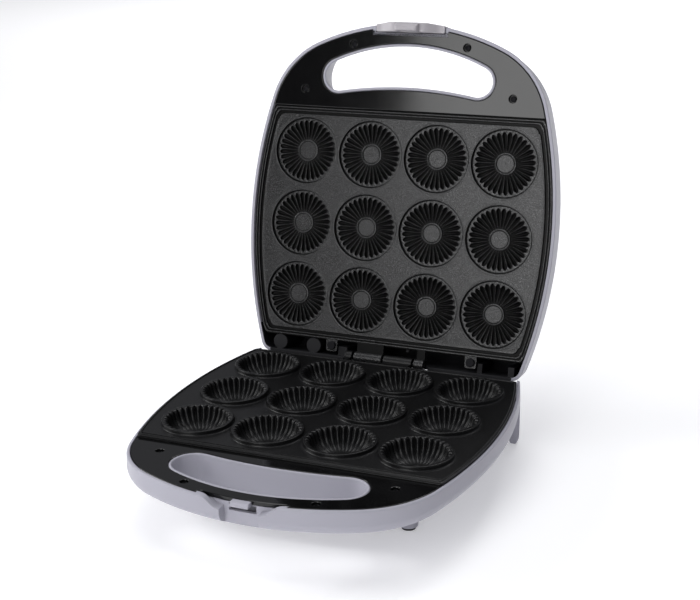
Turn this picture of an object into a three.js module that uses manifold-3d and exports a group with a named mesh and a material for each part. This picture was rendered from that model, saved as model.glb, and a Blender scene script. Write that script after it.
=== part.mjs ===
// A countertop cake and pie maker for twelve small fluted cakes, standing open as it does when it is filled.
// Millimetres, Z up, the handle towards -Y and the hinge towards +Y.
// The plan origin is the middle of the cup grid. The lid is built closed, then swung open on its hinge.
import * as THREE from "three";
import { mergeVertices } from "three/addons/utils/BufferGeometryUtils.js";
import Module from "manifold-3d";

const wasm = await Module();
wasm.setup();

// Clearances that every piece shares
const seatGap = 0.3;
const partGap = 0.5;
const cutOverrun = 2;
const lidOpenDegrees = 103;

// Plan outline of both halves: three tangent arcs a side and a straight back
const plan = {
  halfWidth: 119.8,
  widestY: -5,
  frontY: -152.3,
  rearY: 101.4,
  sideRadius: 331.6,
  frontRadius: 174.6,
  cornerRadius: 64.2,
  rearCornerRadius: 9,
  rearLeastRadius: 2.5,
};
const sectionSteps = { outside: 3, inside: 2 };
const planSteps = { front: 5, corner: 5, side: 6, rear: 2 };

// Base housing, a moulded tray whose underside slopes down to a flat middle
const base = {
  rimZ: 49.8,
  wall: 2.4,
  rimEdge: 1.2,
  draft: 0.3,
  shoulderDrop: 8.8,
  shoulderRadius: 8.5,
  slopeDegrees: 27,
  undersideZ: 13,
  undersideRadius: 25,
  rearEdgeRadius: 4,
  rearWallDrop: 4,
  rearStepLength: 7.4,
};

// Lid housing, a deeper moulding with a round crown
const lid = {
  rimRise: 0.4,
  wall: 2.4,
  rimEdge: 0.6,
  draft: 2.3,
  wallHeight: 22.5,
  height: 37.5,
  crownInset: 17,
  rearCrownShare: 0.6,
  hingeNotchHeight: 4.5,
};

// Baking plates, cast with the cups and the hinge knuckles in one
const plate = {
  thickness: 2,
  frontY: -88.1,
  rearY: 87.6,
  baseFaceRise: 1.8,
  lidFaceRise: 2.6,
  ridgeWidth: 0.9,
  ridgeHeight: 0.6,
  ridgeInset: 1.4,
  ridgePitch: 2.2,
  grooveInset: 5.2,
  grooveWidth: 2.6,
  grooveDepth: 0.9,
};

// Cups: a fluted bowl in a raised collar below, a shallow fluted rosette in a round recess above
const cup = {
  columns: 4,
  rows: 3,
  sideMargin: 15.8,
  collarGap: 3.2,
  lip: 1.5,
  pitchY: 55,
  flutes: 32,
  fluteDepth: 2.2,
  floorRadius: 7.9,
  depth: 13,
  wall: 1.5,
  collarRise: 3,
  middleDepthShare: 0.62,
  middleRadiusShare: 0.84,
  middleFluteShare: 0.8,
  collarSides: 20,
  bowlSides: 10,
  floorSides: 8,
};
const rosette = {
  recessGap: 0.5,
  recessDepth: 2,
  grooveDepth: 2.2,
  discDrop: 1.5,
};

// Hinge: two short and two long knuckles on one pin, by turns of the base's and the lid's plate
const hinge = {
  axisInset: 3.4,
  axisRise: 0.6,
  startX: -32.2,
  baseShort: 4.7,
  lidLong: 21.4,
  baseLong: 21.7,
  lidShort: 6.7,
  knuckleGap: 2.4,
  knuckleRadius: 3.7,
  knuckleSides: 20,
  webThickness: 2,
  webOverlap: 1,
  pinRadius: 1.5,
  pinProud: 1,
  notchMargin: 3,
};

// Handle opening of each half, ringed by a wall of the housing
const handle = {
  frontEdgeY: -135.5,
  wall: 2,
};
const baseOpening = { rearY: -101.6, endInset: 67.9, endY: -110.7, endRadius: 13.45 };
const lidOpening = { rearY: -105.8, endInset: 65.7, endY: -112.2, endRadius: 11.15 };
const handleSteps = { front: 8, rear: 6, end: 5 };

// Black covers round the handle openings, and their screws
const cover = {
  thickness: 3,
  plateGap: 0.3,
  counterboreRadius: 2.6,
  counterboreDepth: 2,
  towerRadius: 4,
  screwLatchGap: 11,
  screwHoleGap: 2.8,
  screwSideInset: 38.7,
  screwRearInset: 13,
};
const screw = { headRadius: 2.3, headHeight: 1.1, shankRadius: 1.2, length: 9, sides: 8, boreSides: 16 };

// Posts that carry the plates and the heat shields, in the spaces between four cups
const post = { radius: 4, footRadius: 6, sides: 8 };
const element = {
  radius: 3.3,
  pastCups: 2,
  spanY: 58,
  tailX: 12,
  tailY: 84,
  bendRadius: 14,
  bendSteps: 3,
  sides: 6,
};
const terminal = { radius: 1.3, length: 7, sides: 6 };
const shield = { sideMargin: 4.7, halfY: 80, cornerRadius: 24, sheet: 0.8, rim: 5, drop: 5 };
const thermostat = {
  radius: 8,
  height: 6,
  capRadius: 5,
  capHeight: 3.5,
  sides: 12,
  bladeWidth: 4.8,
  bladeSheet: 0.8,
};

// What the base stands on: two round feet with rubber pads in front, two moulded legs behind
const foot = {
  sideInset: 46.8,
  y: -56,
  radius: 6.25,
  taper: 1,
  stand: 2,
  padRadius: 4.7,
  socketDepth: 2.3,
  sides: 16,
};
const leg = {
  soleWidth: 4.5,
  soleLength: 8,
  soleInset: 17.5,
  topZ: 40,
  topWidth: 15,
  topLength: 17,
};
const gland = {
  sideInset: 49.8,
  z: 33,
  bore: 2.8,
  neckRadius: 4.6,
  flangeRadius: 6.5,
  flange: 1.6,
  sides: 12,
};

// Latch on the lid's front and the catch recess in the base
const latch = {
  halfWidth: 26.6,
  proud: 0.8,
  pivotInset: 4,
  pivotRise: 12.5,
  bodyRadius: 2.6,
  pinRadius: 1.25,
  skin: 2.2,
  hookHalfWidth: 8.6,
  hookDrop: 12,
  hookTaper: 1.5,
  noseHeight: 3,
  noseReach: 2.6,
  wingFoot: 6.1,
  wingBow: 0.9,
  pocketGap: 0.6,
  pocketWall: 2,
};
const recess = {
  depth: 3.4,
  halfWidth: 29.3,
  channelHalfWidth: 12.8,
  channelDrop: 6.3,
  wingBow: 0.9,
  wingSteps: 5,
  coverNotch: 1.8,
  rimStep: 3.3,
  ledgeHalfWidth: 6.7,
  ledgeTopDrop: 0.8,
  ledgeHeight: 3,
  ledgeDepth: 1.4,
  slotHalfWidth: 9.1,
  slotHeight: 5,
};
const lens = {
  x: 14,
  y: -88,
  radius: 3.5,
  proud: 1.2,
  flange: 1.4,
  flangeHeight: 1.2,
  crownShare: 0.7,
  sides: 12,
};

// Lugs of the lid plate and what the lid's inside shows behind it
const lug = {
  x: [-46.4, 64.4],
  width: 9,
  length: 8.6,
  thickness: 2.4,
  holeRadius: 3,
  postRadius: 4.6,
  sides: 12,
};
const rib = { x: [-38, 71.2, 95], width: [7.4, 4, 5], length: 7 };
const standoff = { x: [-89.5, -61.5], radius: 6, drop: 3, sides: 12 };

const surfaces = {
  white: { color: 0xb9b8c6, roughness: 0.35, metalness: 0 },
  black: { color: 0x0c0c0e, roughness: 0.12, metalness: 0 },
  coating: { color: 0x232426, roughness: 0.45, metalness: 0.4 },
  latch: { color: 0xc2bfc4, roughness: 0.4, metalness: 0 },
  steel: { color: 0x9a9da1, roughness: 0.35, metalness: 1 },
  sheet: { color: 0xa9acb0, roughness: 0.4, metalness: 1 },
  rubber: { color: 0x1b1b1c, roughness: 0.85, metalness: 0 },
  ceramic: { color: 0xd8d2c4, roughness: 0.6, metalness: 0 },
  amber: { color: 0xd8661c, roughness: 0.15, metalness: 0 },
  green: { color: 0x3d9a4a, roughness: 0.15, metalness: 0 },
};

// Worked out from the sizes above
const pitchX = (2 * (plan.halfWidth - cup.sideMargin)) / cup.columns;
const collarRadius = (pitchX - cup.collarGap) / 2;
const tipRadius = collarRadius - cup.lip;
const hingeY = plan.rearY - hinge.axisInset;
const hingeZ = base.rimZ + hinge.axisRise;
const slope = THREE.MathUtils.degToRad(base.slopeDegrees);
const edgeInset = base.wall + partGap;
const faceZ = base.rimZ + plate.baseFaceRise;
const plateBackZ = faceZ - plate.thickness;
const collarTopZ = faceZ + cup.collarRise;
const cupFloorZ = collarTopZ - cup.depth;
const lidPlateBack = plate.lidFaceRise + plate.thickness;
const rosetteFloor = plate.lidFaceRise + rosette.recessDepth;
const rosetteBack = rosetteFloor + rosette.grooveDepth + cup.wall;
const recessRadius = collarRadius + rosette.recessGap;
const coverRearY = plate.frontY - cover.plateGap;
const coverHoleOffset = handle.wall + seatGap;
const lidInnerTop = lid.height - lid.wall;
const rearWallTopZ = base.rimZ - base.rearWallDrop;
const pivotY = plan.frontY + latch.pivotInset;
const postX = pitchX;
const postY = cup.pitchY / 2;
const footX = plan.halfWidth - foot.sideInset;
const soleOuterX = plan.halfWidth - leg.soleInset;
const elementX = (pitchX * (cup.columns - 1)) / 2 + element.pastCups;
const shieldX = elementX + element.radius + shield.sideMargin;
const glandX = gland.sideInset - plan.halfWidth;
const pocket = {
  half: latch.halfWidth + latch.pocketGap,
  top: latch.pivotRise + latch.pivotInset + latch.proud + latch.pocketGap,
  inset: latch.pivotInset + latch.bodyRadius + latch.pocketGap,
};

// Turns a closed geometry into a solid, leaving out the flat triangles that a lathe has on its axis
function solidOf(geometry) {
  geometry.deleteAttribute("normal");
  geometry.deleteAttribute("uv");
  const merged = mergeVertices(geometry);
  const corners = [];
  for (let i = 0; i < merged.index.count; i += 3) {
    const [a, b, c] = [0, 1, 2].map((k) => merged.index.getX(i + k));
    if (a !== b && b !== c && c !== a) corners.push(a, b, c);
  }
  const vertProperties = merged.attributes.position.array;
  const triVerts = new Uint32Array(corners);
  return new wasm.Manifold(new wasm.Mesh({ numProp: 3, vertProperties, triVerts }));
}

// Two heights in rising order
function span(a, b) {
  return a < b ? [a, b] : [b, a];
}

function joined(solids) {
  return solids.reduce((sum, next) => sum.add(next));
}

function box(x0, x1, y0, y1, z0, z1) {
  const geometry = new THREE.BoxGeometry(x1 - x0, y1 - y0, z1 - z0);
  return solidOf(geometry.translate((x0 + x1) / 2, (y0 + y1) / 2, (z0 + z1) / 2));
}

// A closed plan shape pushed up from one height to another
function prism(points, z0, z1) {
  const shape = new THREE.Shape(points);
  const geometry = new THREE.ExtrudeGeometry(shape, { depth: z1 - z0, bevelEnabled: false });
  return solidOf(geometry.translate(0, 0, z0));
}

// A shape drawn on the front view (x, z), pushed through from y0 to y1
function frontPrism(points, y0, y1) {
  const shape = new THREE.Shape(points);
  const geometry = new THREE.ExtrudeGeometry(shape, { depth: y1 - y0, bevelEnabled: false });
  return solidOf(geometry.rotateX(Math.PI / 2).translate(0, y1, 0));
}

// A profile of (radius, height) pairs turned about a vertical axis at (x, y)
function turned(profile, sides, x = 0, y = 0) {
  const points = profile.map(([r, z]) => new THREE.Vector2(r, z));
  const geometry = new THREE.LatheGeometry(points, sides).rotateX(Math.PI / 2);
  return solidOf(geometry.translate(x, y, 0));
}

function rod(radius, z0, z1, sides, x = 0, y = 0) {
  return turned([[0, z0], [radius, z0], [radius, z1], [0, z1]], sides, x, y);
}

function rodAlongX(radius, x0, x1, y, z, sides) {
  const geometry = new THREE.CylinderGeometry(radius, radius, x1 - x0, sides);
  return solidOf(geometry.rotateZ(Math.PI / 2).translate((x0 + x1) / 2, y, z));
}

// Triangles between two rings, where one may have a whole number of points for each point of the other
function band(lower, upper) {
  const [coarse, fine] = lower.count <= upper.count ? [lower, upper] : [upper, lower];
  const ratio = fine.count / coarse.count;
  const back = Math.floor(ratio / 2);
  const triangles = [];
  for (let i = 0; i < coarse.count; i += 1) {
    const here = coarse.first + i;
    const next = coarse.first + ((i + 1) % coarse.count);
    const at = (k) => fine.first + ((i * ratio + k + fine.count) % fine.count);
    for (let k = -back; k < ratio - back; k += 1) triangles.push([here, at(k + 1), at(k)]);
    triangles.push([here, next, at(ratio - back)]);
  }
  return coarse === lower ? triangles : triangles.map((corners) => corners.reverse());
}

// A skin over rings of points, each {points, heights}, with flat caps on the first and last ring
function loft(rings) {
  const corners = rings.map(({ points, heights }) => points.map((p, i) => [p.x, p.y, heights(i)]));
  let first = 0;
  const spans = rings.map(({ points }) => {
    const span = { first, count: points.length };
    first += points.length;
    return span;
  });
  const bottom = THREE.ShapeUtils.triangulateShape(rings[0].points, []).map((corners) => corners.reverse());
  const top = THREE.ShapeUtils.triangulateShape(rings.at(-1).points, []);
  const sides = spans.slice(1).flatMap((span, k) => band(spans[k], span));
  const index = [...bottom, ...sides, ...top.map((corners) => corners.map((k) => k + spans.at(-1).first))];
  const geometry = new THREE.BufferGeometry();
  geometry.setAttribute("position", new THREE.Float32BufferAttribute(corners.flat(2), 3));
  return solidOf(geometry.setIndex(index.flat()));
}

function level(points, z) {
  return { points, heights: () => z };
}

function arc(centre, radius, from, to, steps, skipFirst = true) {
  const points = [];
  for (let i = skipFirst ? 1 : 0; i <= steps; i += 1) {
    const angle = from + ((to - from) * i) / steps;
    const spoke = new THREE.Vector2(radius * Math.cos(angle), radius * Math.sin(angle));
    points.push(spoke.add(centre));
  }
  return points;
}

// The crossing of two circles that lies to the right of the way from a to b
function crossing(a, ra, b, rb) {
  const unit = b.clone().sub(a);
  const between = unit.length();
  unit.divideScalar(between);
  const along = (ra * ra - rb * rb + between * between) / (2 * between);
  const aside = Math.sqrt(ra * ra - along * along);
  return new THREE.Vector2(a.x + along * unit.x + aside * unit.y, a.y + along * unit.y - aside * unit.x);
}

function angleFrom(centre, point) {
  return Math.atan2(point.y - centre.y, point.x - centre.x);
}

function mirrored(points) {
  return points.map((p) => new THREE.Vector2(-p.x, p.y)).reverse();
}

const sideCentre = new THREE.Vector2(plan.halfWidth - plan.sideRadius, plan.widestY);
const frontCentre = new THREE.Vector2(0, plan.frontY + plan.frontRadius);
const cornerCentre = crossing(
  sideCentre,
  plan.sideRadius - plan.cornerRadius,
  frontCentre,
  plan.frontRadius - plan.cornerRadius,
);

// The plan outline drawn in by an inset, with the straight back drawn in by its own
function outline(inset, rearInset = inset) {
  const rearRadius = Math.max(plan.rearCornerRadius - rearInset, plan.rearLeastRadius);
  const rearCentreY = plan.rearY - rearInset - rearRadius;
  const reach = plan.sideRadius - inset - rearRadius;
  const rise = rearCentreY - sideCentre.y;
  const rearCentre = new THREE.Vector2(sideCentre.x + Math.sqrt(reach * reach - rise * rise), rearCentreY);
  const frontEnd = angleFrom(frontCentre, cornerCentre);
  const cornerEnd = angleFrom(sideCentre, cornerCentre);
  const sideEnd = angleFrom(sideCentre, rearCentre);
  const right = [
    ...arc(frontCentre, plan.frontRadius - inset, -Math.PI / 2, frontEnd, planSteps.front, false),
    ...arc(cornerCentre, plan.cornerRadius - inset, frontEnd, cornerEnd, planSteps.corner),
    ...arc(sideCentre, plan.sideRadius - inset, cornerEnd, sideEnd, planSteps.side),
    ...arc(rearCentre, rearRadius, sideEnd, Math.PI / 2, planSteps.rear),
  ];
  return [...right, ...mirrored(right.slice(1))];
}

function ring([inset, z, rearInset = 0]) {
  return level(outline(inset, rearInset), z);
}

// Even shares from none to all
function shares(steps) {
  return Array.from({ length: steps + 1 }, (_, k) => k / steps);
}

// Base section from the underside out to the rim, as [inset, height, rear inset], moved in by an offset
function baseSection(offset) {
  const shoulder = { inset: base.shoulderRadius, z: base.rimZ - base.shoulderDrop };
  const turn = base.undersideRadius;
  const filletZ = base.undersideZ + turn;
  const reach = (shoulder.z - filletZ) * Math.cos(slope) - (base.shoulderRadius - turn);
  const filletInset = shoulder.inset + reach / Math.sin(slope);
  const rearEdge = base.rearEdgeRadius;
  const lower = [0, 1].map((share) => {
    const angle = slope * share;
    const radius = turn - offset;
    const z = filletZ - radius * Math.cos(angle);
    return [filletInset - radius * Math.sin(angle), z, offset + rearEdge * (1 - share)];
  });
  const turns = offset ? sectionSteps.inside : sectionSteps.outside;
  const upper = shares(turns).map((share) => {
    const angle = slope + (Math.PI / 2 - slope) * share;
    const radius = base.shoulderRadius - offset;
    return [shoulder.inset - radius * Math.sin(angle), shoulder.z - radius * Math.cos(angle), offset];
  });
  return [...lower, ...upper];
}

// Lid section from the rim up to the flat top, as [inset, height, rear inset]
function lidSection(offset) {
  const turns = offset ? sectionSteps.inside : sectionSteps.outside + 1;
  return shares(turns).map((share) => {
    const angle = (Math.PI / 2) * share;
    const across = lid.crownInset - offset;
    const up = lid.height - lid.wallHeight - offset;
    const inset = lid.draft + lid.crownInset - across * Math.cos(angle);
    const rear = lid.rearCrownShare * (inset - lid.draft - offset) + offset;
    return [inset, lid.wallHeight + up * Math.sin(angle), rear];
  });
}

// Radius of the arc through the middle at middleY that touches an end arc; below zero it bows the other way
function touchingRadius(end, endRadius, middleY, side) {
  const rise = end.y - middleY;
  return (end.x * end.x + rise * rise - endRadius * endRadius) / (2 * (rise + side * endRadius));
}

// The handle opening, let out by an offset: two long arcs joined by a tangent arc at each end
function handleShape({ rearY, endInset, endY, endRadius }, offset) {
  const end = new THREE.Vector2(plan.halfWidth - endInset, endY);
  const frontRadius = touchingRadius(end, endRadius, handle.frontEdgeY, -1);
  const rearRadius = touchingRadius(end, endRadius, rearY, 1);
  const front = new THREE.Vector2(0, handle.frontEdgeY + frontRadius);
  const rear = new THREE.Vector2(0, rearY + rearRadius);
  const frontEnd = angleFrom(front, end);
  const rearEnd = rear.clone().sub(end).multiplyScalar(Math.sign(rearRadius)).angle();
  const right = [
    ...arc(front, frontRadius + offset, -Math.PI / 2, frontEnd, handleSteps.front / 2, false),
    ...arc(end, endRadius + offset, frontEnd, rearEnd, handleSteps.end),
    ...arc(rear, rearRadius - offset, rearEnd - Math.PI, -Math.PI / 2, handleSteps.rear / 2),
  ];
  return [...right, ...mirrored(right.slice(1, -1))];
}

function baseHandle(offset, z0, z1) {
  return prism(handleShape(baseOpening, offset), z0, z1);
}

function lidHandle(offset, z0, z1) {
  return prism(handleShape(lidOpening, offset), z0, z1);
}

// Where the front edge of the cover's hole passes a distance to the right of the middle
function holeFrontY(x) {
  const edge = handleShape(baseOpening, coverHoleOffset);
  const next = edge.findIndex((p) => p.x > x);
  const [a, b] = [edge[next - 1], edge[next]];
  return a.y + ((b.y - a.y) * (x - a.x)) / (b.x - a.x);
}

function coverScrewPlaces() {
  const frontX = pocket.half + latch.pocketWall + cover.towerRadius + cover.screwLatchGap;
  const rearX = plan.halfWidth - cover.screwSideInset;
  const frontY = holeFrontY(frontX) - cover.counterboreRadius - cover.screwHoleGap;
  const places = [[frontX, frontY], [rearX, coverRearY - cover.screwRearInset]];
  return places.flatMap(([x, y]) => [[-x, y], [x, y]]);
}

function postPlaces() {
  return [-1, 1].flatMap((i) => [-1, 1].map((j) => [i * postX, j * postY]));
}

function cupPlaces() {
  const places = [];
  for (let row = 0; row < cup.rows; row += 1) {
    for (let column = 0; column < cup.columns; column += 1) {
      const x = (column - (cup.columns - 1) / 2) * pitchX;
      places.push([x, (row - (cup.rows - 1) / 2) * cup.pitchY]);
    }
  }
  return places;
}

// Half of the catch recess or of the latch's lower edge: a bowed line from the rim down to the channel
function wingLine(outerX, outerZ, innerX, innerZ, bow) {
  const points = [];
  for (let i = 0; i <= recess.wingSteps; i += 1) {
    const share = i / recess.wingSteps;
    const sag = bow * Math.sin(2 * Math.PI * share);
    const x = THREE.MathUtils.lerp(outerX, innerX, share);
    const z = THREE.MathUtils.lerp(outerZ, innerZ, share) + sag;
    points.push(new THREE.Vector2(x, z));
  }
  return points;
}

function recessShape(extra) {
  const wings = wingLine(
    recess.halfWidth + extra,
    base.rimZ,
    recess.channelHalfWidth + extra,
    base.rimZ - recess.channelDrop - extra,
    recess.wingBow,
  );
  const right = [
    new THREE.Vector2(recess.halfWidth + extra, base.rimZ + cutOverrun),
    ...wings,
    new THREE.Vector2(recess.channelHalfWidth + extra, -cutOverrun),
  ];
  return [...right, ...mirrored(right)];
}

function recessCutter() {
  const front = frontPrism(recessShape(0), plan.frontY - cutOverrun, plan.frontY + plan.cornerRadius / 2);
  const behind = prism(outline(recess.depth), -2 * cutOverrun, base.rimZ + 2 * cutOverrun);
  return front.subtract(behind);
}

function recessBacking() {
  const rearY = plan.frontY + plan.cornerRadius / 2;
  const front = frontPrism(recessShape(base.wall), plan.frontY - cutOverrun, rearY);
  const lowTop = base.rimZ - recess.rimStep;
  const deep = prism(outline(recess.depth + base.wall), 0, base.rimZ);
  const lip = prism(outline(edgeInset + recess.coverNotch - seatGap), lowTop, base.rimZ);
  const below = prism(outline(0), 0, lowTop);
  const above = prism(outline(0), lowTop, base.rimZ);
  return front.intersect(below.subtract(deep).add(above.subtract(lip)));
}

// The catch ledge stands out of the recess above a slot for the hook's nose
function catchLedge() {
  const top = base.rimZ - recess.ledgeTopDrop;
  const bottom = top - recess.ledgeHeight;
  const y = plan.frontY + recess.depth;
  const inner = plan.frontY + edgeInset + recess.coverNotch - seatGap;
  const shape = [
    new THREE.Vector2(inner, bottom),
    new THREE.Vector2(inner, top),
    new THREE.Vector2(y, top),
    new THREE.Vector2(y - recess.ledgeDepth, bottom + recess.ledgeHeight / 3),
    new THREE.Vector2(y - recess.ledgeDepth, bottom),
  ];
  const geometry = new THREE.ExtrudeGeometry(new THREE.Shape(shape), {
    depth: 2 * recess.ledgeHalfWidth,
    bevelEnabled: false,
  });
  geometry.applyMatrix4(new THREE.Matrix4().makeBasis(yAxis, zAxis, xAxis));
  return solidOf(geometry.translate(-recess.ledgeHalfWidth, 0, 0));
}
const xAxis = new THREE.Vector3(1, 0, 0);
const yAxis = new THREE.Vector3(0, 1, 0);
const zAxis = new THREE.Vector3(0, 0, 1);

function rearLeg(side) {
  const rectangle = (width, length, outerX) => {
    const points = [
      [outerX - width, plan.rearY - length],
      [outerX, plan.rearY - length],
      [outerX, plan.rearY],
      [outerX - width, plan.rearY],
    ].map(([x, y]) => new THREE.Vector2(side * x, y));
    return side > 0 ? points : points.reverse();
  };
  const topOuter = plan.halfWidth;
  const body = loft([
    level(rectangle(leg.soleWidth, leg.soleLength, soleOuterX), 0),
    level(rectangle(leg.topWidth + topOuter - soleOuterX, leg.topLength, topOuter), leg.topZ),
  ]);
  return body.intersect(prism(outline(0, 0), -cutOverrun, base.rimZ));
}

function footBoss(side) {
  const top = base.undersideZ + base.wall;
  const profile = [[0, foot.stand], [foot.radius, foot.stand], [foot.radius + foot.taper, top], [0, top]];
  return turned(profile, foot.sides, side * footX, foot.y);
}

function footSocket(side) {
  const radius = foot.padRadius + seatGap;
  const top = foot.stand + foot.socketDepth;
  return rod(radius, foot.stand - cutOverrun, top, foot.sides, side * footX, foot.y);
}

function footPad(side) {
  const top = foot.stand + foot.socketDepth - seatGap;
  return rod(foot.padRadius, 0, top, foot.sides, side * footX, foot.y);
}

// Inside the base: stepped posts under the plate and towers under the cover
const elementZ = cupFloorZ - cup.wall - seatGap - element.radius;
const shieldTopZ = elementZ - element.radius - shield.drop;
const towerZ = base.rimZ - cover.thickness - seatGap;

function basePosts() {
  const shoulderZ = shieldTopZ - shield.sheet - seatGap;
  return joined(
    postPlaces().map(([x, y]) => {
      const footPart = rod(post.footRadius, base.undersideZ, shoulderZ, post.sides, x, y);
      return footPart.add(rod(post.radius, base.undersideZ, plateBackZ - seatGap, post.sides, x, y));
    }),
  );
}

function baseTowers() {
  return joined(coverScrewPlaces().map(([x, y]) => rod(cover.towerRadius, 0, towerZ, post.sides, x, y)));
}

function towerPilots(z, direction) {
  const radius = screw.shankRadius + seatGap;
  const ends = span(z - direction * cutOverrun, z + direction * (screw.length + cutOverrun));
  return joined(coverScrewPlaces().map(([x, y]) => rod(radius, ends[0], ends[1], screw.sides, x, y)));
}

function baseHousing() {
  const rimInset = base.draft + base.rimEdge;
  const outer = loft(
    [
      ...baseSection(0),
      [base.draft, base.rimZ - base.rimEdge, 0],
      [rimInset, base.rimZ, 0],
    ].map(ring),
  );
  const pastRim = [base.wall, base.rimZ + cutOverrun, base.wall];
  const cavity = loft([...baseSection(base.wall), pastRim].map(ring));
  const kept = joined([baseHandle(handle.wall, 0, base.rimZ), basePosts(), baseTowers(), recessBacking()]);
  const slotTop = base.rimZ - recess.ledgeTopDrop - recess.ledgeHeight;
  const slotY = plan.frontY + recess.depth;
  const step = hingeY + hinge.axisInset - base.rearStepLength;
  const cutters = [
    baseHandle(0, 0, base.rimZ + cutOverrun),
    recessCutter(),
    box(
      -recess.slotHalfWidth,
      recess.slotHalfWidth,
      slotY - cutOverrun,
      slotY + 2 * base.wall,
      slotTop - recess.slotHeight,
      slotTop,
    ),
    box(
      -plan.halfWidth,
      plan.halfWidth,
      step,
      plan.rearY + cutOverrun,
      rearWallTopZ,
      base.rimZ + cutOverrun,
    ),
    towerPilots(towerZ, -1),
    glandHole(),
    footSocket(-1),
    footSocket(1),
  ];
  const shell = outer.subtract(cavity.subtract(kept));
  const feet = [rearLeg(-1), rearLeg(1), footBoss(-1), footBoss(1)];
  const whole = joined([shell, ...feet]).subtract(joined(cutters));
  return whole.add(catchLedge());
}

// Both covers lie flat round the handle; z0 is the face that shows and up is the way into the housing
function handleCover(z0, up, hole) {
  const [low, high] = span(z0, z0 + up * cover.thickness);
  const sunk = span(z0 - up * cutOverrun, z0 + up * cover.counterboreDepth);
  const bores = coverScrewPlaces().flatMap(([x, y]) => [
    rod(cover.counterboreRadius, ...sunk, screw.boreSides, x, y),
    rod(screw.shankRadius + seatGap, low - cutOverrun, high + cutOverrun, screw.sides, x, y),
  ]);
  const width = plan.halfWidth;
  const behindPlate = box(-width, width, coverRearY, plan.rearY, low - cutOverrun, high + cutOverrun);
  return prism(outline(edgeInset), low, high).subtract(joined([behindPlate, hole, ...bores]));
}

function baseHandleCover() {
  const depth = cover.thickness + cutOverrun;
  const hole = baseHandle(coverHoleOffset, base.rimZ - depth, base.rimZ + cutOverrun);
  const notchInset = edgeInset + recess.coverNotch;
  const half = recess.halfWidth + base.wall + seatGap;
  const rearY = plan.frontY + plan.cornerRadius / 2;
  const front = box(-half, half, plan.frontY - cutOverrun, rearY, 0, base.rimZ + cutOverrun);
  const notch = front.subtract(prism(outline(notchInset), -cutOverrun, base.rimZ + 2 * cutOverrun));
  return handleCover(base.rimZ, -1, hole.add(notch));
}

function coverScrew(x, y, z0, up) {
  const seat = z0 + up * (cover.counterboreDepth - seatGap);
  const head = seat - up * screw.headHeight;
  const tip = seat + up * screw.length;
  const profile = [
    [0, head],
    [screw.headRadius, head],
    [screw.headRadius, seat],
    [screw.shankRadius, seat],
    [screw.shankRadius, tip],
    [0, tip],
  ];
  return turned(up > 0 ? profile : profile.reverse(), screw.sides, x, y);
}

// Rings of the fluted wall: grooves run out to the tip radius, and the ribs between them stand in from it
function flutedRing(tip, depth, z, ribZ = z) {
  const points = [];
  for (let i = 0; i < 2 * cup.flutes; i += 1) {
    const angle = (Math.PI * i) / cup.flutes;
    const radius = i % 2 ? tip - depth : tip;
    points.push(new THREE.Vector2(radius * Math.cos(angle), radius * Math.sin(angle)));
  }
  return { points, heights: (i) => (i % 2 ? ribZ : z) };
}

function floorRing(z) {
  const centre = new THREE.Vector2(0, 0);
  return level(arc(centre, cup.floorRadius, 0, 2 * Math.PI, cup.floorSides, false).slice(0, -1), z);
}

function bowlCutter() {
  const middle = tipRadius * cup.middleRadiusShare;
  const middleZ = collarTopZ - cup.depth * cup.middleDepthShare;
  return loft([
    floorRing(cupFloorZ),
    flutedRing(middle, cup.fluteDepth * cup.middleFluteShare, middleZ),
    flutedRing(tipRadius, cup.fluteDepth, collarTopZ),
    flutedRing(tipRadius, cup.fluteDepth, collarTopZ + cutOverrun),
  ]);
}

function bowlBody() {
  const spread = 1 / Math.cos(Math.PI / cup.bowlSides);
  const middleZ = collarTopZ - cup.depth * cup.middleDepthShare - cup.wall;
  const profile = [
    [0, cupFloorZ - cup.wall],
    [(cup.floorRadius + cup.wall / 2) * spread, cupFloorZ - cup.wall],
    [(tipRadius * cup.middleRadiusShare + cup.wall / 2) * spread, middleZ],
    [collarRadius, plateBackZ + plate.thickness / 2],
    [0, plateBackZ + plate.thickness / 2],
  ];
  return turned(profile, cup.bowlSides);
}

function plateSlab(z0, z1, inset = edgeInset) {
  const grow = inset - edgeInset;
  const band = box(
    -plan.halfWidth,
    plan.halfWidth,
    plate.frontY + grow,
    plate.rearY - grow,
    Math.min(z0, z1) - cutOverrun,
    Math.max(z0, z1) + cutOverrun,
  );
  return prism(outline(inset), z0, z1).intersect(band);
}

// A raised or cut line that runs round the plate at an inset from its edge
function plateFrame(inset, width, z0, z1) {
  const low = Math.min(z0, z1);
  const high = Math.max(z0, z1);
  const inner = plateSlab(low - cutOverrun, high + cutOverrun, edgeInset + inset + width);
  return plateSlab(low, high, edgeInset + inset).subtract(inner);
}

function knuckleSpans() {
  const lengths = [hinge.baseShort, hinge.lidLong, hinge.baseLong, hinge.lidShort];
  let x = hinge.startX;
  return lengths.map((length) => {
    const span = [x, x + length];
    x += length + hinge.knuckleGap;
    return span;
  });
}

// Knuckles on webs that reach back from a plate between two heights over the axis
function knuckles(spans, low, high) {
  const { knuckleRadius, knuckleSides } = hinge;
  const round = spans.map(([x0, x1]) => rodAlongX(knuckleRadius, x0, x1, hingeY, hingeZ, knuckleSides));
  const webs = spans.map(([x0, x1]) => {
    return box(x0, x1, plate.rearY - hinge.webOverlap, hingeY, hingeZ + low, hingeZ + high);
  });
  const [first] = spans[0];
  const [, last] = spans.at(-1);
  const boreRadius = hinge.pinRadius + seatGap;
  const bore = rodAlongX(boreRadius, first - cutOverrun, last + cutOverrun, hingeY, hingeZ, post.sides);
  return joined([...webs, ...round]).subtract(bore);
}

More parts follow.
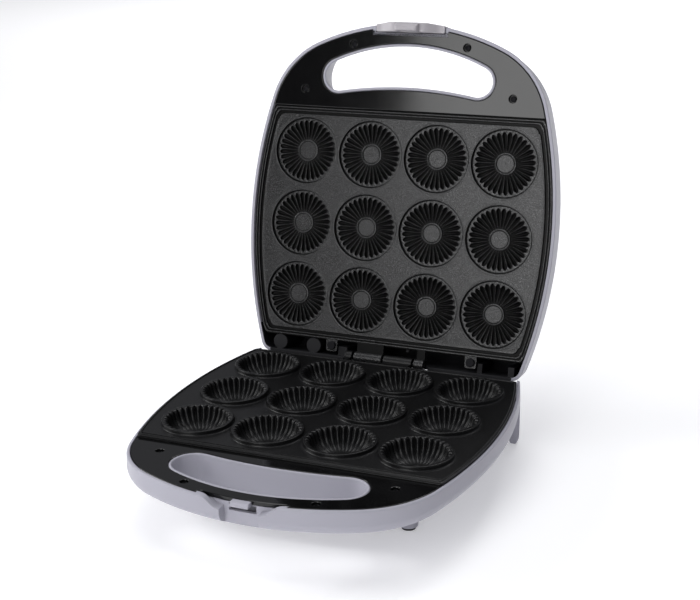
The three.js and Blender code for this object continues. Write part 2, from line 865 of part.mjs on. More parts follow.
function baseBakingPlate() {
  const spans = knuckleSpans();
  const high = faceZ - hingeZ;
  const bodies = [plateSlab(plateBackZ, faceZ)];
  const cutters = [];
  const bowl = bowlBody();
  const cutter = bowlCutter();
  const collar = rod(collarRadius, faceZ - plate.thickness / 2, collarTopZ, cup.collarSides);
  cupPlaces().forEach(([x, y]) => {
    bodies.push(bowl.add(collar).translate([x, y, 0]));
    cutters.push(cutter.translate([x, y, 0]));
  });
  const ridgeTop = faceZ + plate.ridgeHeight;
  bodies.push(plateFrame(plate.ridgeInset, plate.ridgeWidth, faceZ - plate.thickness / 2, ridgeTop));
  const frontRibY = plate.frontY + plate.ridgeInset + plate.ridgePitch;
  const ribHalf = -sideCentre.x;
  const frontRib = box(-ribHalf, ribHalf, frontRibY, frontRibY + plate.ridgeWidth, plateBackZ, ridgeTop);
  bodies.push(frontRib.intersect(plateSlab(plateBackZ, ridgeTop, edgeInset + plate.ridgeInset)));
  bodies.push(knuckles([spans[0], spans[2]], high - hinge.webThickness, high));
  return joined(bodies).subtract(joined(cutters));
}

// The lid's rosette: from the round recess, grooves cut back behind low ribs that fade to a flat disc
function rosetteCutter() {
  const disc = rosetteFloor + rosette.discDrop;
  const flutes = loft([
    flutedRing(tipRadius, cup.fluteDepth, plate.lidFaceRise - cutOverrun),
    flutedRing(tipRadius, cup.fluteDepth, rosetteFloor + rosette.grooveDepth, rosetteFloor),
    floorRing(disc),
  ]);
  return flutes.add(rod(recessRadius, plate.lidFaceRise - cutOverrun, rosetteFloor, cup.collarSides));
}

function rosetteBacking() {
  const spread = 1 / Math.cos(Math.PI / cup.bowlSides);
  const radius = (recessRadius + cup.wall) * spread;
  return rod(radius, plate.lidFaceRise + plate.thickness / 2, rosetteBack, cup.bowlSides);
}

function lidLugs() {
  const low = plate.lidFaceRise;
  return joined(
    lug.x.map((x) => {
      const half = lug.width / 2;
      const rearY = plate.rearY + lug.length;
      return box(x - half, x + half, plate.rearY - hinge.webOverlap, rearY, low, low + lug.thickness);
    }),
  );
}

function lugHoleY() {
  return plate.rearY + lug.length - lug.width / 2;
}

function lidBakingPlate() {
  const spans = knuckleSpans();
  const bodies = [plateSlab(plate.lidFaceRise, lidPlateBack)];
  const cutters = [];
  const backing = rosetteBacking();
  const cutter = rosetteCutter();
  cupPlaces().forEach(([x, y]) => {
    bodies.push(backing.translate([x, y, 0]));
    cutters.push(cutter.translate([x, y, 0]));
  });
  const high = hingeHeightOfLidPlate();
  bodies.push(knuckles([spans[1], spans[3]], high - hinge.webThickness, high).translate([0, 0, -hingeZ]));
  bodies.push(lidLugs());
  lug.x.forEach((x) => {
    const top = lidPlateBack + cutOverrun;
    cutters.push(rod(lug.holeRadius, plate.lidFaceRise - cutOverrun, top, lug.sides, x, lugHoleY()));
  });
  const grooveTop = plate.lidFaceRise + plate.grooveDepth;
  cutters.push(plateFrame(plate.grooveInset, plate.grooveWidth, plate.lidFaceRise - cutOverrun, grooveTop));
  return joined(bodies).subtract(joined(cutters));
}

function hingeHeightOfLidPlate() {
  return plate.lidFaceRise + plate.thickness / 2;
}

function hingePin() {
  const spans = knuckleSpans();
  const x0 = spans[0][0] - hinge.pinProud;
  const x1 = spans.at(-1)[1] + hinge.pinProud;
  return rodAlongX(hinge.pinRadius, x0, x1, hingeY, hingeZ, post.sides);
}

// The heating element's route, a wide loop under the outer cups with both tails to the rear
function elementRoute() {
  const r = element.bendRadius;
  const corners = [
    [elementX, element.spanY, 0],
    [elementX, -element.spanY, -Math.PI / 2],
    [-elementX, -element.spanY, -Math.PI],
    [-elementX, element.spanY, -1.5 * Math.PI],
  ];
  const bends = corners.flatMap(([x, y, end]) => {
    const centre = new THREE.Vector2(x - Math.sign(x) * r, y - Math.sign(y) * r);
    return arc(centre, r, end + Math.PI / 2, end, element.bendSteps, false);
  });
  const tail = (side) => {
    const centre = new THREE.Vector2(side * (element.tailX + r), element.spanY + r);
    const from = side > 0 ? Math.PI : -Math.PI / 2;
    const to = side > 0 ? 1.5 * Math.PI : 0;
    return arc(centre, r, from, to, element.bendSteps, false);
  };
  return [
    new THREE.Vector2(element.tailX, element.tailY),
    ...tail(1),
    ...bends,
    ...tail(-1),
    new THREE.Vector2(-element.tailX, element.tailY),
  ];
}

// A round bar bent along a flat route
function bar(route, radius, z, sides) {
  const positions = [];
  const index = [];
  route.forEach((p, i) => {
    const before = route[Math.max(i - 1, 0)];
    const after = route[Math.min(i + 1, route.length - 1)];
    const into = p.clone().sub(before).normalize();
    const out = after.clone().sub(p).normalize();
    const along = into.clone().add(out).normalize();
    const straight = i === 0 || i === route.length - 1;
    const stretch = straight ? 1 : 1 / Math.sqrt((1 + into.dot(out)) / 2);
    for (let k = 0; k < sides; k += 1) {
      const angle = (2 * Math.PI * (k + 0.5)) / sides;
      const aside = radius * Math.cos(angle) * stretch;
      positions.push(p.x + along.y * aside, p.y - along.x * aside, z + radius * Math.sin(angle));
    }
  });
  for (let i = 0; i < route.length - 1; i += 1) {
    for (let k = 0; k < sides; k += 1) {
      const a = i * sides + k;
      const b = i * sides + ((k + 1) % sides);
      index.push(a, b + sides, b, a, a + sides, b + sides);
    }
  }
  const last = (route.length - 1) * sides;
  for (let k = 1; k < sides - 1; k += 1) {
    index.push(0, k, k + 1, last, last + k + 1, last + k);
  }
  const geometry = new THREE.BufferGeometry();
  geometry.setAttribute("position", new THREE.Float32BufferAttribute(positions, 3));
  return solidOf(geometry.setIndex(index));
}

function heatingElement(z) {
  const tails = [-1, 1].map((side) => {
    const x = side * element.tailX;
    const { radius, length, sides } = terminal;
    const pin = new THREE.CylinderGeometry(radius, radius, 2 * length, sides);
    return solidOf(pin.translate(x, element.tailY, z));
  });
  return joined([bar(elementRoute(), element.radius, z, element.sides), ...tails]);
}

function roundedRectangle(halfX, halfY, radius) {
  const corner = (side) => new THREE.Vector2(halfX - radius, side * (halfY - radius));
  const right = [
    ...arc(corner(-1), radius, -Math.PI / 2, 0, planSteps.rear, false),
    ...arc(corner(1), radius, 0, Math.PI / 2, planSteps.rear, false),
  ];
  return [...right, ...mirrored(right)];
}

// A pressed tray; up is the way from its floor to its open side
function heatShield(floorZ, up) {
  const sheet = shield.sheet;
  const outer = roundedRectangle(shieldX, shield.halfY, shield.cornerRadius);
  const inner = roundedRectangle(shieldX - sheet, shield.halfY - sheet, shield.cornerRadius - sheet);
  const tray = prism(outer, ...span(floorZ - up * sheet, floorZ + up * shield.rim));
  const hollow = prism(inner, ...span(floorZ, floorZ + up * (shield.rim + cutOverrun)));
  const holes = postPlaces().map(([x, y]) => {
    const reach = span(floorZ - up * cutOverrun, floorZ + up * cutOverrun);
    return rod(post.radius + seatGap, ...reach, post.sides, x, y);
  });
  return tray.subtract(joined([hollow, ...holes]));
}

// A disc thermostat that lies against the back of a plate between four cups, with two blade terminals
function discThermostat(seatZ, up) {
  const tip = seatZ + up * thermostat.height;
  const end = tip + up * thermostat.capHeight;
  const profile = [
    [0, seatZ],
    [thermostat.radius, seatZ],
    [thermostat.radius, tip],
    [thermostat.capRadius, tip],
    [thermostat.capRadius, end],
    [0, end],
  ];
  const disc = turned(up > 0 ? profile : profile.reverse(), thermostat.sides, 0, postY);
  const middleZ = (seatZ + tip) / 2;
  const half = thermostat.bladeSheet / 2;
  const reach = thermostat.radius + thermostat.bladeWidth;
  const width = thermostat.bladeWidth / 2;
  return disc.add(box(-reach, reach, postY - width, postY + width, middleZ - half, middleZ + half));
}

function glandProfile() {
  const inner = plan.rearY - base.wall - seatGap;
  const outer = plan.rearY + seatGap;
  return [
    [gland.bore, inner - gland.flange],
    [gland.flangeRadius, inner - gland.flange],
    [gland.flangeRadius, inner],
    [gland.neckRadius, inner],
    [gland.neckRadius, outer],
    [gland.flangeRadius, outer],
    [gland.neckRadius, outer + gland.flange],
    [gland.bore, outer + gland.flange],
    [gland.bore, inner - gland.flange],
  ];
}

// The gland and its hole are turned about an axis along Y
function turnedAlongY(profile, sides) {
  const points = profile.map(([r, y]) => new THREE.Vector2(r, y));
  const geometry = new THREE.LatheGeometry(points, sides);
  return solidOf(geometry.translate(glandX, 0, gland.z));
}

function glandHole() {
  const radius = gland.neckRadius + seatGap;
  const from = plan.rearY - 2 * base.wall;
  const to = plan.rearY + cutOverrun;
  return turnedAlongY([[0, from], [radius, from], [radius, to], [0, to]], gland.sides);
}

// Lid pieces, built closed, with heights measured from the hinge axis
const lidElementZ = rosetteBack + seatGap + element.radius;
const lidShieldFloor = lidElementZ + element.radius + shield.drop;
const lidTowerRise = lid.rimRise + cover.thickness + seatGap;

function lidPosts() {
  const shoulder = lidShieldFloor + shield.sheet + seatGap;
  return joined(
    postPlaces().map(([x, y]) => {
      const thick = rod(post.footRadius, shoulder, lid.height - lid.wall / 2, post.sides, x, y);
      const top = lid.height - lid.wall / 2;
      return thick.add(rod(post.radius, lidPlateBack + seatGap, top, post.sides, x, y));
    }),
  );
}

function lidTowers() {
  const top = lid.height - lid.wall / 2;
  const places = coverScrewPlaces();
  return joined(places.map(([x, y]) => rod(cover.towerRadius, lidTowerRise, top, post.sides, x, y)));
}

function lidRearPosts() {
  const top = lid.height - lid.wall / 2;
  const lugPosts = lug.x.map((x) => {
    const bottom = plate.lidFaceRise + lug.thickness + seatGap;
    return rod(lug.postRadius, bottom, top, lug.sides, x, lugHoleY());
  });
  const ribs = rib.x.map((x, i) => {
    const half = rib.width[i] / 2;
    const frontY = plan.rearY - lid.wall - rib.length;
    return box(x - half, x + half, frontY, plan.rearY - lid.wall / 2, lidPlateBack, top);
  });
  const rounds = standoff.x.map((x) => {
    return rod(standoff.radius, standoff.drop, top, standoff.sides, x, plate.rearY + standoff.radius);
  });
  return joined([...lugPosts, ...ribs, ...rounds]);
}

function pocketBlock(half, inset, top) {
  const z0 = -latch.hookDrop - cutOverrun;
  const block = box(-half, half, plan.frontY - cutOverrun, plan.frontY + plan.cornerRadius / 2, z0, top);
  const side = half + cutOverrun;
  const behind = box(-side, side, plan.frontY + inset, plan.rearY, z0 - cutOverrun, top + cutOverrun);
  return block.subtract(behind);
}

function lidHousing() {
  const section = lidSection(0);
  const rimInset = lid.rimEdge;
  const outer = loft(
    [[rimInset, lid.rimRise, 0], [0, lid.rimRise + lid.rimEdge, 0], ...section].map(ring),
  );
  const cavity = loft(
    [
      [lid.wall, lid.rimRise - cutOverrun, lid.wall],
      [lid.wall, lidPlateBack + partGap, lid.wall],
      ...lidSection(lid.wall),
    ].map(ring),
  );
  const kept = joined([
    lidHandle(handle.wall, 0, lid.height),
    lidPosts(),
    lidTowers(),
    lidRearPosts(),
    pocketBlock(...[pocket.half, pocket.inset, pocket.top].map((size) => size + latch.pocketWall)),
  ]);
  const notchMiddle = (hinge.startX + knuckleSpans().at(-1)[1]) / 2;
  const notchHalf = notchMiddle - hinge.startX + hinge.notchMargin;
  const pinReach = pocket.half + latch.pocketWall + cutOverrun;
  const cutters = [
    lidHandle(0, lid.rimRise - cutOverrun, lid.height + cutOverrun),
    pocketBlock(pocket.half, pocket.inset, pocket.top),
    rodAlongX(latch.pinRadius + seatGap, -pinReach, pinReach, pivotY, latch.pivotRise, post.sides),
    towerPilots(lidTowerRise, 1),
    lugPilots(),
    box(
      notchMiddle - notchHalf,
      notchMiddle + notchHalf,
      plan.rearY - 2 * lid.wall,
      plan.rearY + cutOverrun,
      lid.rimRise - cutOverrun,
      lid.hingeNotchHeight,
    ),
    lensHole(-1),
    lensHole(1),
  ];
  return outer.subtract(cavity.subtract(kept)).subtract(joined(cutters));
}

function lugPilots() {
  const radius = screw.shankRadius + seatGap;
  const bottom = plate.lidFaceRise - cutOverrun;
  const top = plate.lidFaceRise + lug.thickness + screw.length;
  return joined(lug.x.map((x) => rod(radius, bottom, top, screw.sides, x, lugHoleY())));
}

// A washer-headed screw that holds a lug of the lid plate to its post
function lugScrew(x) {
  const seat = plate.lidFaceRise - seatGap;
  const headRadius = lug.holeRadius + screw.shankRadius / 2;
  const profile = [
    [0, seat - screw.headHeight],
    [headRadius - screw.shankRadius / 2, seat - screw.headHeight],
    [headRadius, seat - screw.headHeight / 2],
    [headRadius, seat],
    [screw.shankRadius, seat],
    [screw.shankRadius, seat + screw.length],
    [0, seat + screw.length],
  ];
  return turned(profile, screw.sides, x, lugHoleY());
}

function lidHandleCover() {
  const depth = cover.thickness + cutOverrun;
  const hole = lidHandle(coverHoleOffset, lid.rimRise - cutOverrun, lid.rimRise + depth);
  const inset = pocket.inset + latch.pocketWall + seatGap;
  const half = pocket.half + latch.pocketWall + seatGap;
  return handleCover(lid.rimRise, 1, hole.add(pocketBlock(half, inset, lid.height)));
}

function lensHole(side) {
  const top = lid.height + cutOverrun;
  return rod(lens.radius + seatGap, lidInnerTop - cutOverrun, top, lens.sides, side * lens.x, lens.y);
}

function indicatorLens(side) {
  const under = lidInnerTop - seatGap;
  const profile = [
    [0, under - lens.flangeHeight],
    [lens.radius + lens.flange, under - lens.flangeHeight],
    [lens.radius + lens.flange, under],
    [lens.radius, under],
    [lens.radius, lid.height + lens.proud / 2],
    [lens.radius * lens.crownShare, lid.height + lens.proud],
    [0, lid.height + lens.proud],
  ];
  return turned(profile, lens.sides, side * lens.x, lens.y);
}

// The latch: a bar along the front, round about its pivot, with wings that fill the catch recess and a hook
function latchShape() {
  const rimDrop = -hinge.axisRise;
  const wings = wingLine(latch.halfWidth, rimDrop, latch.hookHalfWidth, -latch.wingFoot, latch.wingBow);
  const right = [
    new THREE.Vector2(latch.halfWidth, pocket.top),
    ...wings,
    new THREE.Vector2(latch.hookHalfWidth, -latch.hookDrop + latch.hookTaper),
    new THREE.Vector2(latch.hookHalfWidth - latch.hookTaper, -latch.hookDrop),
  ];
  return [...right, ...mirrored(right)];
}

function latchBody() {
  const outerY = plan.frontY - latch.proud;
  const front = frontPrism(latchShape(), outerY - cutOverrun, pivotY + latch.bodyRadius);
  const bottom = -latch.hookDrop - cutOverrun;
  const skinned = front.intersect(prism(outline(-latch.proud), bottom, pocket.top + cutOverrun));
  const turnRadius = latch.pivotInset + latch.proud;
  const reach = latch.halfWidth + cutOverrun;
  const below = box(-reach, reach, outerY - cutOverrun, pivotY + latch.pivotInset, bottom, latch.pivotRise);
  const round = rodAlongX(turnRadius, -reach, reach, pivotY, latch.pivotRise, hinge.knuckleSides);
  const inFront = box(-reach, reach, outerY - cutOverrun, pivotY, bottom, pocket.top + cutOverrun);
  const barrel = rodAlongX(latch.bodyRadius, -reach, reach, pivotY, latch.pivotRise, hinge.knuckleSides);
  const crown = round.intersect(inFront).add(barrel);
  const thinBelow = prism(outline(latch.skin - latch.proud), bottom - cutOverrun, lid.rimRise - seatGap);
  const nose = hookNose();
  const bore = rodAlongX(latch.pinRadius + seatGap, -reach, reach, pivotY, latch.pivotRise, post.sides);
  return skinned.intersect(below.add(crown)).subtract(thinBelow).add(nose).subtract(bore);
}

// The nose passes under the catch ledge through its slot
function hookNose() {
  const ledgeBottom = -hinge.axisRise - recess.ledgeTopDrop - recess.ledgeHeight;
  const top = ledgeBottom - seatGap;
  const y = plan.frontY + latch.skin - latch.proud - seatGap;
  const shape = [
    new THREE.Vector2(y, top - latch.noseHeight),
    new THREE.Vector2(y, top),
    new THREE.Vector2(y + latch.noseReach + seatGap, top),
    new THREE.Vector2(y + latch.noseReach + seatGap, top - latch.noseHeight / 3),
  ].reverse();
  const geometry = new THREE.ExtrudeGeometry(new THREE.Shape(shape), {
    depth: 2 * recess.ledgeHalfWidth,
    bevelEnabled: false,
  });
  geometry.applyMatrix4(new THREE.Matrix4().makeBasis(yAxis, zAxis, xAxis));
  return solidOf(geometry.translate(-recess.ledgeHalfWidth, 0, 0));
}

function latchPin() {
  const reach = pocket.half + latch.pocketWall;
  return rodAlongX(latch.pinRadius, -reach, reach, pivotY, latch.pivotRise, post.sides);
}

function mesh(name, solid, surface) {
  const made = solid.getMesh();
  const geometry = new THREE.BufferGeometry();
  geometry.setAttribute("position", new THREE.BufferAttribute(made.vertProperties.slice(), 3));
  geometry.setIndex(new THREE.BufferAttribute(made.triVerts.slice(), 1));
  geometry.computeVertexNormals();
  const piece = new THREE.Mesh(geometry, new THREE.MeshStandardMaterial(surface));
  piece.name = name;
  return piece;
}

function baseGroup() {
  const group = new THREE.Group();
  group.add(
    mesh("base_housing", baseHousing(), surfaces.white),
    mesh("base_handle_cover", baseHandleCover(), surfaces.black),
    mesh("base_baking_plate", baseBakingPlate(), surfaces.coating),
    mesh("base_heating_element", heatingElement(elementZ), surfaces.steel),
    mesh("base_heat_shield", heatShield(shieldTopZ, 1), surfaces.sheet),
    mesh("base_thermostat", discThermostat(plateBackZ - seatGap, -1), surfaces.ceramic),
    mesh("foot_pad_left", footPad(-1), surfaces.rubber),
    mesh("foot_pad_right", footPad(1), surfaces.rubber),
    mesh("cord_gland", turnedAlongY(glandProfile(), gland.sides), surfaces.rubber),
    mesh("hinge_pin", hingePin(), surfaces.steel),
  );
  coverScrewPlaces().forEach(([x, y], i) => {
    group.add(mesh("base_cover_screw_" + (i + 1), coverScrew(x, y, base.rimZ, -1), surfaces.steel));
  });
  return group;
}

function lidGroup() {
  const group = new THREE.Group();
  group.add(
    mesh("lid_housing", lidHousing(), surfaces.white),
    mesh("lid_handle_cover", lidHandleCover(), surfaces.black),
    mesh("lid_baking_plate", lidBakingPlate(), surfaces.coating),
    mesh("lid_heating_element", heatingElement(lidElementZ), surfaces.steel),
    mesh("lid_heat_shield", heatShield(lidShieldFloor, -1), surfaces.sheet),
    mesh("lid_thermostat", discThermostat(lidPlateBack + seatGap, 1), surfaces.ceramic),
    mesh("power_lens", indicatorLens(-1), surfaces.amber),
    mesh("ready_lens", indicatorLens(1), surfaces.green),
    mesh("latch", latchBody(), surfaces.latch),
    mesh("latch_pin", latchPin(), surfaces.steel),
  );
  coverScrewPlaces().forEach(([x, y], i) => {
    group.add(mesh("lid_cover_screw_" + (i + 1), coverScrew(x, y, lid.rimRise, 1), surfaces.steel));
  });
  lug.x.forEach((x, i) => {
    group.add(mesh("lid_lug_screw_" + (i + 1), lugScrew(x), surfaces.steel));
  });
  group.position.set(0, -hingeY, 0);
  const swing = new THREE.Group();
  swing.add(group);
  swing.rotation.x = THREE.MathUtils.degToRad(-lidOpenDegrees);
  swing.position.set(0, hingeY, hingeZ);
  return swing;
}

// The part's origin is under the middle of its box, on the surface that it stands on
function cakeMaker() {
  const whole = new THREE.Group();
  whole.add(baseGroup(), lidGroup());
  whole.updateMatrixWorld(true);
  const middle = new THREE.Box3().setFromObject(whole, true).getCenter(new THREE.Vector3());
  whole.position.set(-middle.x, -middle.y, 0);
  const part = new THREE.Group();
  part.add(whole);
  return part;
}

export default cakeMaker();
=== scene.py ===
"""Looks of the cake and pie maker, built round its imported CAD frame.

Shapes are drawn in millimetres and come to metres when a piece is placed. The base is drawn standing on
z = 0, and the lid as it lies when closed, with z = 0 at the hinge line. Both share one plan, with the hinge
line at HINGE_Y.
"""

import math

import bmesh
import bpy
import numpy as np
from mathutils import Matrix, Vector


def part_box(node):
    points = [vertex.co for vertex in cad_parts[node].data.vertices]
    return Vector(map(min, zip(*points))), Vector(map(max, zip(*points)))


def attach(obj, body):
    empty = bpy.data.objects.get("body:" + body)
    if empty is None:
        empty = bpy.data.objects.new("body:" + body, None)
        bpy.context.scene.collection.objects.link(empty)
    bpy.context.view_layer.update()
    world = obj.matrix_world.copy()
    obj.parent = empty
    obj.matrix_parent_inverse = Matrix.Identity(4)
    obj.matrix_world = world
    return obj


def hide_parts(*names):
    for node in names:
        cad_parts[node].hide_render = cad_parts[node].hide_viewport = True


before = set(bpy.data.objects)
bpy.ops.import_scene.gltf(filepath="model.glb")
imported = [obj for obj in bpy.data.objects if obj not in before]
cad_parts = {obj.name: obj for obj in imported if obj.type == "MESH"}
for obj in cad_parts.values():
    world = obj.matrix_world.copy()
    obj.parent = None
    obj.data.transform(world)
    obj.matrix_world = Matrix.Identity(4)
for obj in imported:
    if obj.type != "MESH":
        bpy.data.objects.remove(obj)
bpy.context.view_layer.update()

# Places of the base and the lid, from the CAD's hinge pin
MM = 0.001
TAU = 2 * math.pi
RIGHT_ANGLE = math.pi / 2
HINGE_Y, HINGE_Z = 98.0, 50.4
OPEN = math.radians(103)
pin_low, pin_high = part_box("hinge_pin")
PIN = (pin_low + pin_high) / 2 / MM
SHIFT_Y = PIN.y - HINGE_Y
BASE_PLACE = Matrix.Scale(MM, 4) @ Matrix.Translation((0, SHIFT_Y, 0))
LID_PLACE = (
    Matrix.Scale(MM, 4)
    @ Matrix.Translation((0, PIN.y, PIN.z))
    @ Matrix.Rotation(-OPEN, 4, "X")
    @ Matrix.Translation((0, -HINGE_Y, 0))
)

# The plan outline: arcs for the front, the front corners, the bowed sides and the rear corners
HALF_WIDTH, WIDEST_Y = 119.8, -5
FRONT_Y, REAR_Y = -152.3, 101.4
FRONT_R, CORNER_R, SIDE_R = 174.6, 64.2, 331.6
REAR_R, REAR_R_LEAST = 9, 2.5
OUTLINE_STEPS = (22, 26, 26, 8)
BACK_STEPS = 11

# Walls, and how far a cutter runs past what it cuts
WALL = 2.4
OVERRUN = 2
SIDES = (-1, 1)

# The base: its rim, and its section from the flat underside over a slope to the shoulder
RIM_Z, RIM_INSET, RIM_R = 49.8, 0.3, 1.2
UNDERSIDE_Z, TURN_R, SLOPE = 13, 25.0, math.radians(27)
SHOULDER_R, SHOULDER_DROP = 8.5, 8.8
REAR_EDGE = 4.0
REAR_STEP_LENGTH, REAR_STEP_DEPTH = 7.4, 4
GLAND_X, GLAND_Z, GLAND_R = -70, 33, 4.9

# The base's rear legs, which widen from the foot up, and its front feet
LEG_HEIGHT, LEG_CORNER_R = 40, 1.2
LEG_FOOT_X, LEG_FOOT_WIDTH, LEG_FOOT_LENGTH = 102.3, 4.5, 8
LEG_TOP_WIDTH, LEG_TOP_LENGTH = 32.5, 17
LEG_SKIN_GAP = 0.05
FOOT_X, FOOT_Y = 73, -56

# The lid: its wall leans in by the draft and rounds off into the top
LID_HEIGHT, LID_WALL_HEIGHT = 37.5, 22.5
LID_DRAFT, LID_ROUND, LID_REAR_SHARE = 2.3, 17, 0.6
LID_RIM_R = 0.6
INNER_TOP, INNER_RIBS, STANDOFF_XS = 34, ((-38, 7.4), (71.2, 4), (95, 5)), (-89.5, -61.5)
LENS_X, LENS_Y, LENS_HOLE_R, LENS_HOLE_LOW = 14, -88, 3.8, 30

# The handle openings: three arcs a side, and a wall that flares through the lid
HANDLE_FRONT = -135.5
BASE_HOLE = dict(rear_y=-101.6, end=(51.9, -110.7), end_r=13.45)
LID_HOLE = dict(rear_y=-105.8, end=(54.1, -112.2), end_r=11.15)
HOLE_STEPS = (20, 18, 20)
TUBE_WALL, TUBE_LIP, TUBE_SINK = 2.0, 0.8, 0.15
FLARE, FLARE_START, FLARE_END = 10.0, 1.5, LID_HEIGHT - 3

# The catch recess in the base's front, with its ledge and the slot under it
RECESS_DEPTH, RECESS_HALF = 6.8, 28.0
CHANNEL_HALF, CHANNEL_DROP, WING_BOW = 12.8, 6.3, 0.9
RECESS_REACH, RIM_STEP = 32, 3.3
LEDGE_HALF, LEDGE_TOP_DROP, LEDGE_HEIGHT, LEDGE_INSET = 6.2, 0.8, 3, 3.4
LEDGE_BEVEL, LEDGE_NOSE = 0.6, 1.9
SLOT_HALF, SLOT_HEIGHT = 9.1, 5

# The latch and its pocket in the lid
LATCH_HALF, LATCH_TOP, LATCH_PROUD = 26.6, 17.9, 0.8
LATCH_PIVOT_INSET, LATCH_PIVOT_RISE, LATCH_BARREL_R, LATCH_CROWN_R = 4, 12.5, 2.6, 4.8
HOOK_HALF, HOOK_DROP, WING_TOP, WING_FOOT = 8.6, 12.0, -0.6, -6.1
LATCH_REACH, LATCH_LOW, LATCH_HIGH, LATCH_BACK = 28, -14, 20, 4
HOOK_REACH, LEDGE_ROOM_HALF, LEDGE_ROOM_LOW, LEDGE_ROOM_HIGH = 6.2, 7.3, -4.8, -0.9
POCKET_HALF, POCKET_INSET, POCKET_WALL = 27.2, 7.2, 2
CHIN_REACH, CHIN_TOP, CHIN_DROP = 5.2, 2.0, 14.2
SCOOP_INSET, SCOOP_Z, SCOOP_HALF, SCOOP_R = 4.1, -12.6, 9.5, 1.5

# The handle covers and their screws
EDGE_INSET = 2.9
COVER_THICKNESS, COVER_HOLE_GAP, COVER_PLATE_GAP, COVER_ROUND = 3, 2.3, 0.3, 0.55
LID_COVER_RISE = 0.4
COVER_LIP, COVER_NOTCH, LID_NOTCH_HALF, LID_NOTCH_INSET = 1.8, 6.5, 27.0, 6.9
SCREWS = [(side * x, y) for x, y in ((44.2, -136.2), (81.1, -101.4)) for side in SIDES]
SCREW_SEAT, SCREW_HEAD, SCREW_HEAD_R, SCREW_SHANK_R = 2.3, 1.1, 2.3, 1.2
CROSS_HALF, CROSS_REACH, CROSS_DEPTH = 0.26, 1.25, 0.7

# The baking plates and the cups, which stand in rows
PLATE_FRONT, PLATE_REAR, PLATE_STEPS = -88.1, 87.6, (60, 60, 80, 8)
FACE_Z, BACK_Z = 51.6, 49.6
LID_FACE, LID_BACK = 2.6, 4.6
COLLAR_TOP, CUP_FLOOR = 54.6, 41.6
CUP_HOLE_R, ROSETTE_HOLE_R = 24.0, 25.6
FRONT_RIB_INSET, FRONT_RIB_HALF = 3.6, 108.6
RECESS_FLOOR = LID_FACE + 2
PITCH_X, PITCH_Y, FLUTES = 52, 55, 32
CUPS = [((column - 1.5) * PITCH_X, (row - 1) * PITCH_Y) for row in range(3) for column in range(4)]
FLUTE_STEPS = 8
CENTRE_R = 0.3

# The hinge knuckles along the pin, whose even ones are the base's, and the lugs behind the lid's plate
KNUCKLES_START, KNUCKLE_LENGTHS, KNUCKLE_GAP = -32.2, (4.7, 21.4, 21.7, 6.7), 2.4
KNUCKLE_R, KNUCKLE_BORE, KNUCKLE_EDGE, KNUCKLE_EXTRA = 4.5, 1.8, 0.5, 0.45
KNUCKLES_END = KNUCKLES_START + sum(KNUCKLE_LENGTHS) + KNUCKLE_GAP * (len(KNUCKLE_LENGTHS) - 1)
NOTCH_MARGIN, NOTCH_TOP = 3, 4.5
LID_WEB_TOP = 3.6
LUG_XS, LUG_HALF, LUG_REACH = (-46.4, 64.4), 4.5, 8.6
LUG_CORNER_R, LUG_THICKNESS, LUG_HOLE_R = 1.6, 2.4, 3.0
LUG_Y = PLATE_REAR + LUG_REACH - LUG_HALF


# Plane curves
def arc(centre, radius, start, end, steps, first=True):
    angles = np.linspace(start, end, steps + 1)[0 if first else 1:]
    return np.stack([centre[0] + radius * np.cos(angles), centre[1] + radius * np.sin(angles)], 1)


def crossing(a, ra, b, rb):
    """One of the two points at distance ra from a and rb from b."""
    a, b = np.array(a, float), np.array(b, float)
    between = np.linalg.norm(b - a)
    unit = (b - a) / between
    along = (ra * ra - rb * rb + between * between) / (2 * between)
    aside = math.sqrt(ra * ra - along * along)
    return a + along * unit + aside * np.array((unit[1], -unit[0]))


def towards(a, b):
    return math.atan2(b[1] - a[1], b[0] - a[0])


def mirrored(points):
    """The points on the other side of the middle, in reverse order."""
    return (points * (-1, 1))[::-1]


SIDE_C = (HALF_WIDTH - SIDE_R, WIDEST_Y)
FRONT_C = (0.0, FRONT_Y + FRONT_R)
CORNER_C = crossing(SIDE_C, SIDE_R - CORNER_R, FRONT_C, FRONT_R - CORNER_R)


def outline(inset, rear_inset=None, steps=OUTLINE_STEPS):
    """The plan outline drawn in by an inset, its straight back by its own."""
    rear = inset if rear_inset is None else rear_inset
    rear_r = max(REAR_R - rear, REAR_R_LEAST)
    rear_cy = REAR_Y - rear - rear_r
    reach = SIDE_R - inset - rear_r
    rise = rear_cy - SIDE_C[1]
    rear_c = (SIDE_C[0] + math.sqrt(reach * reach - rise * rise), rear_cy)
    a, b, c = towards(FRONT_C, CORNER_C), towards(SIDE_C, CORNER_C), towards(SIDE_C, rear_c)
    right = np.concatenate([
        arc(FRONT_C, FRONT_R - inset, -RIGHT_ANGLE, a, steps[0]),
        arc(CORNER_C, CORNER_R - inset, a, b, steps[1], False),
        arc(SIDE_C, SIDE_R - inset, b, c, steps[2], False),
        arc(rear_c, rear_r, c, RIGHT_ANGLE, steps[3], False),
    ])
    back = np.array([(x, REAR_Y - rear) for x in np.linspace(right[-1][0], 0, BACK_STEPS + 1)[1:-1]])
    half = np.concatenate([right, back])
    return np.concatenate([half, [(0.0, REAR_Y - rear)], mirrored(half[1:])])


def inset_at(point):
    """How far inside the front part of the outline a point lies."""
    x, y = abs(point[0]), point[1]
    if towards(FRONT_C, (x, y)) < towards(FRONT_C, CORNER_C):
        return FRONT_R - math.dist(FRONT_C, (x, y))
    return CORNER_R - math.dist(CORNER_C, (x, y))


def touching(end, end_r, middle_y, side):
    """Radius of the arc through the middle line at middle_y that touches a circle."""
    rise = end[1] - middle_y
    return (end[0] ** 2 + rise ** 2 - end_r ** 2) / (2 * (rise + side * end_r))


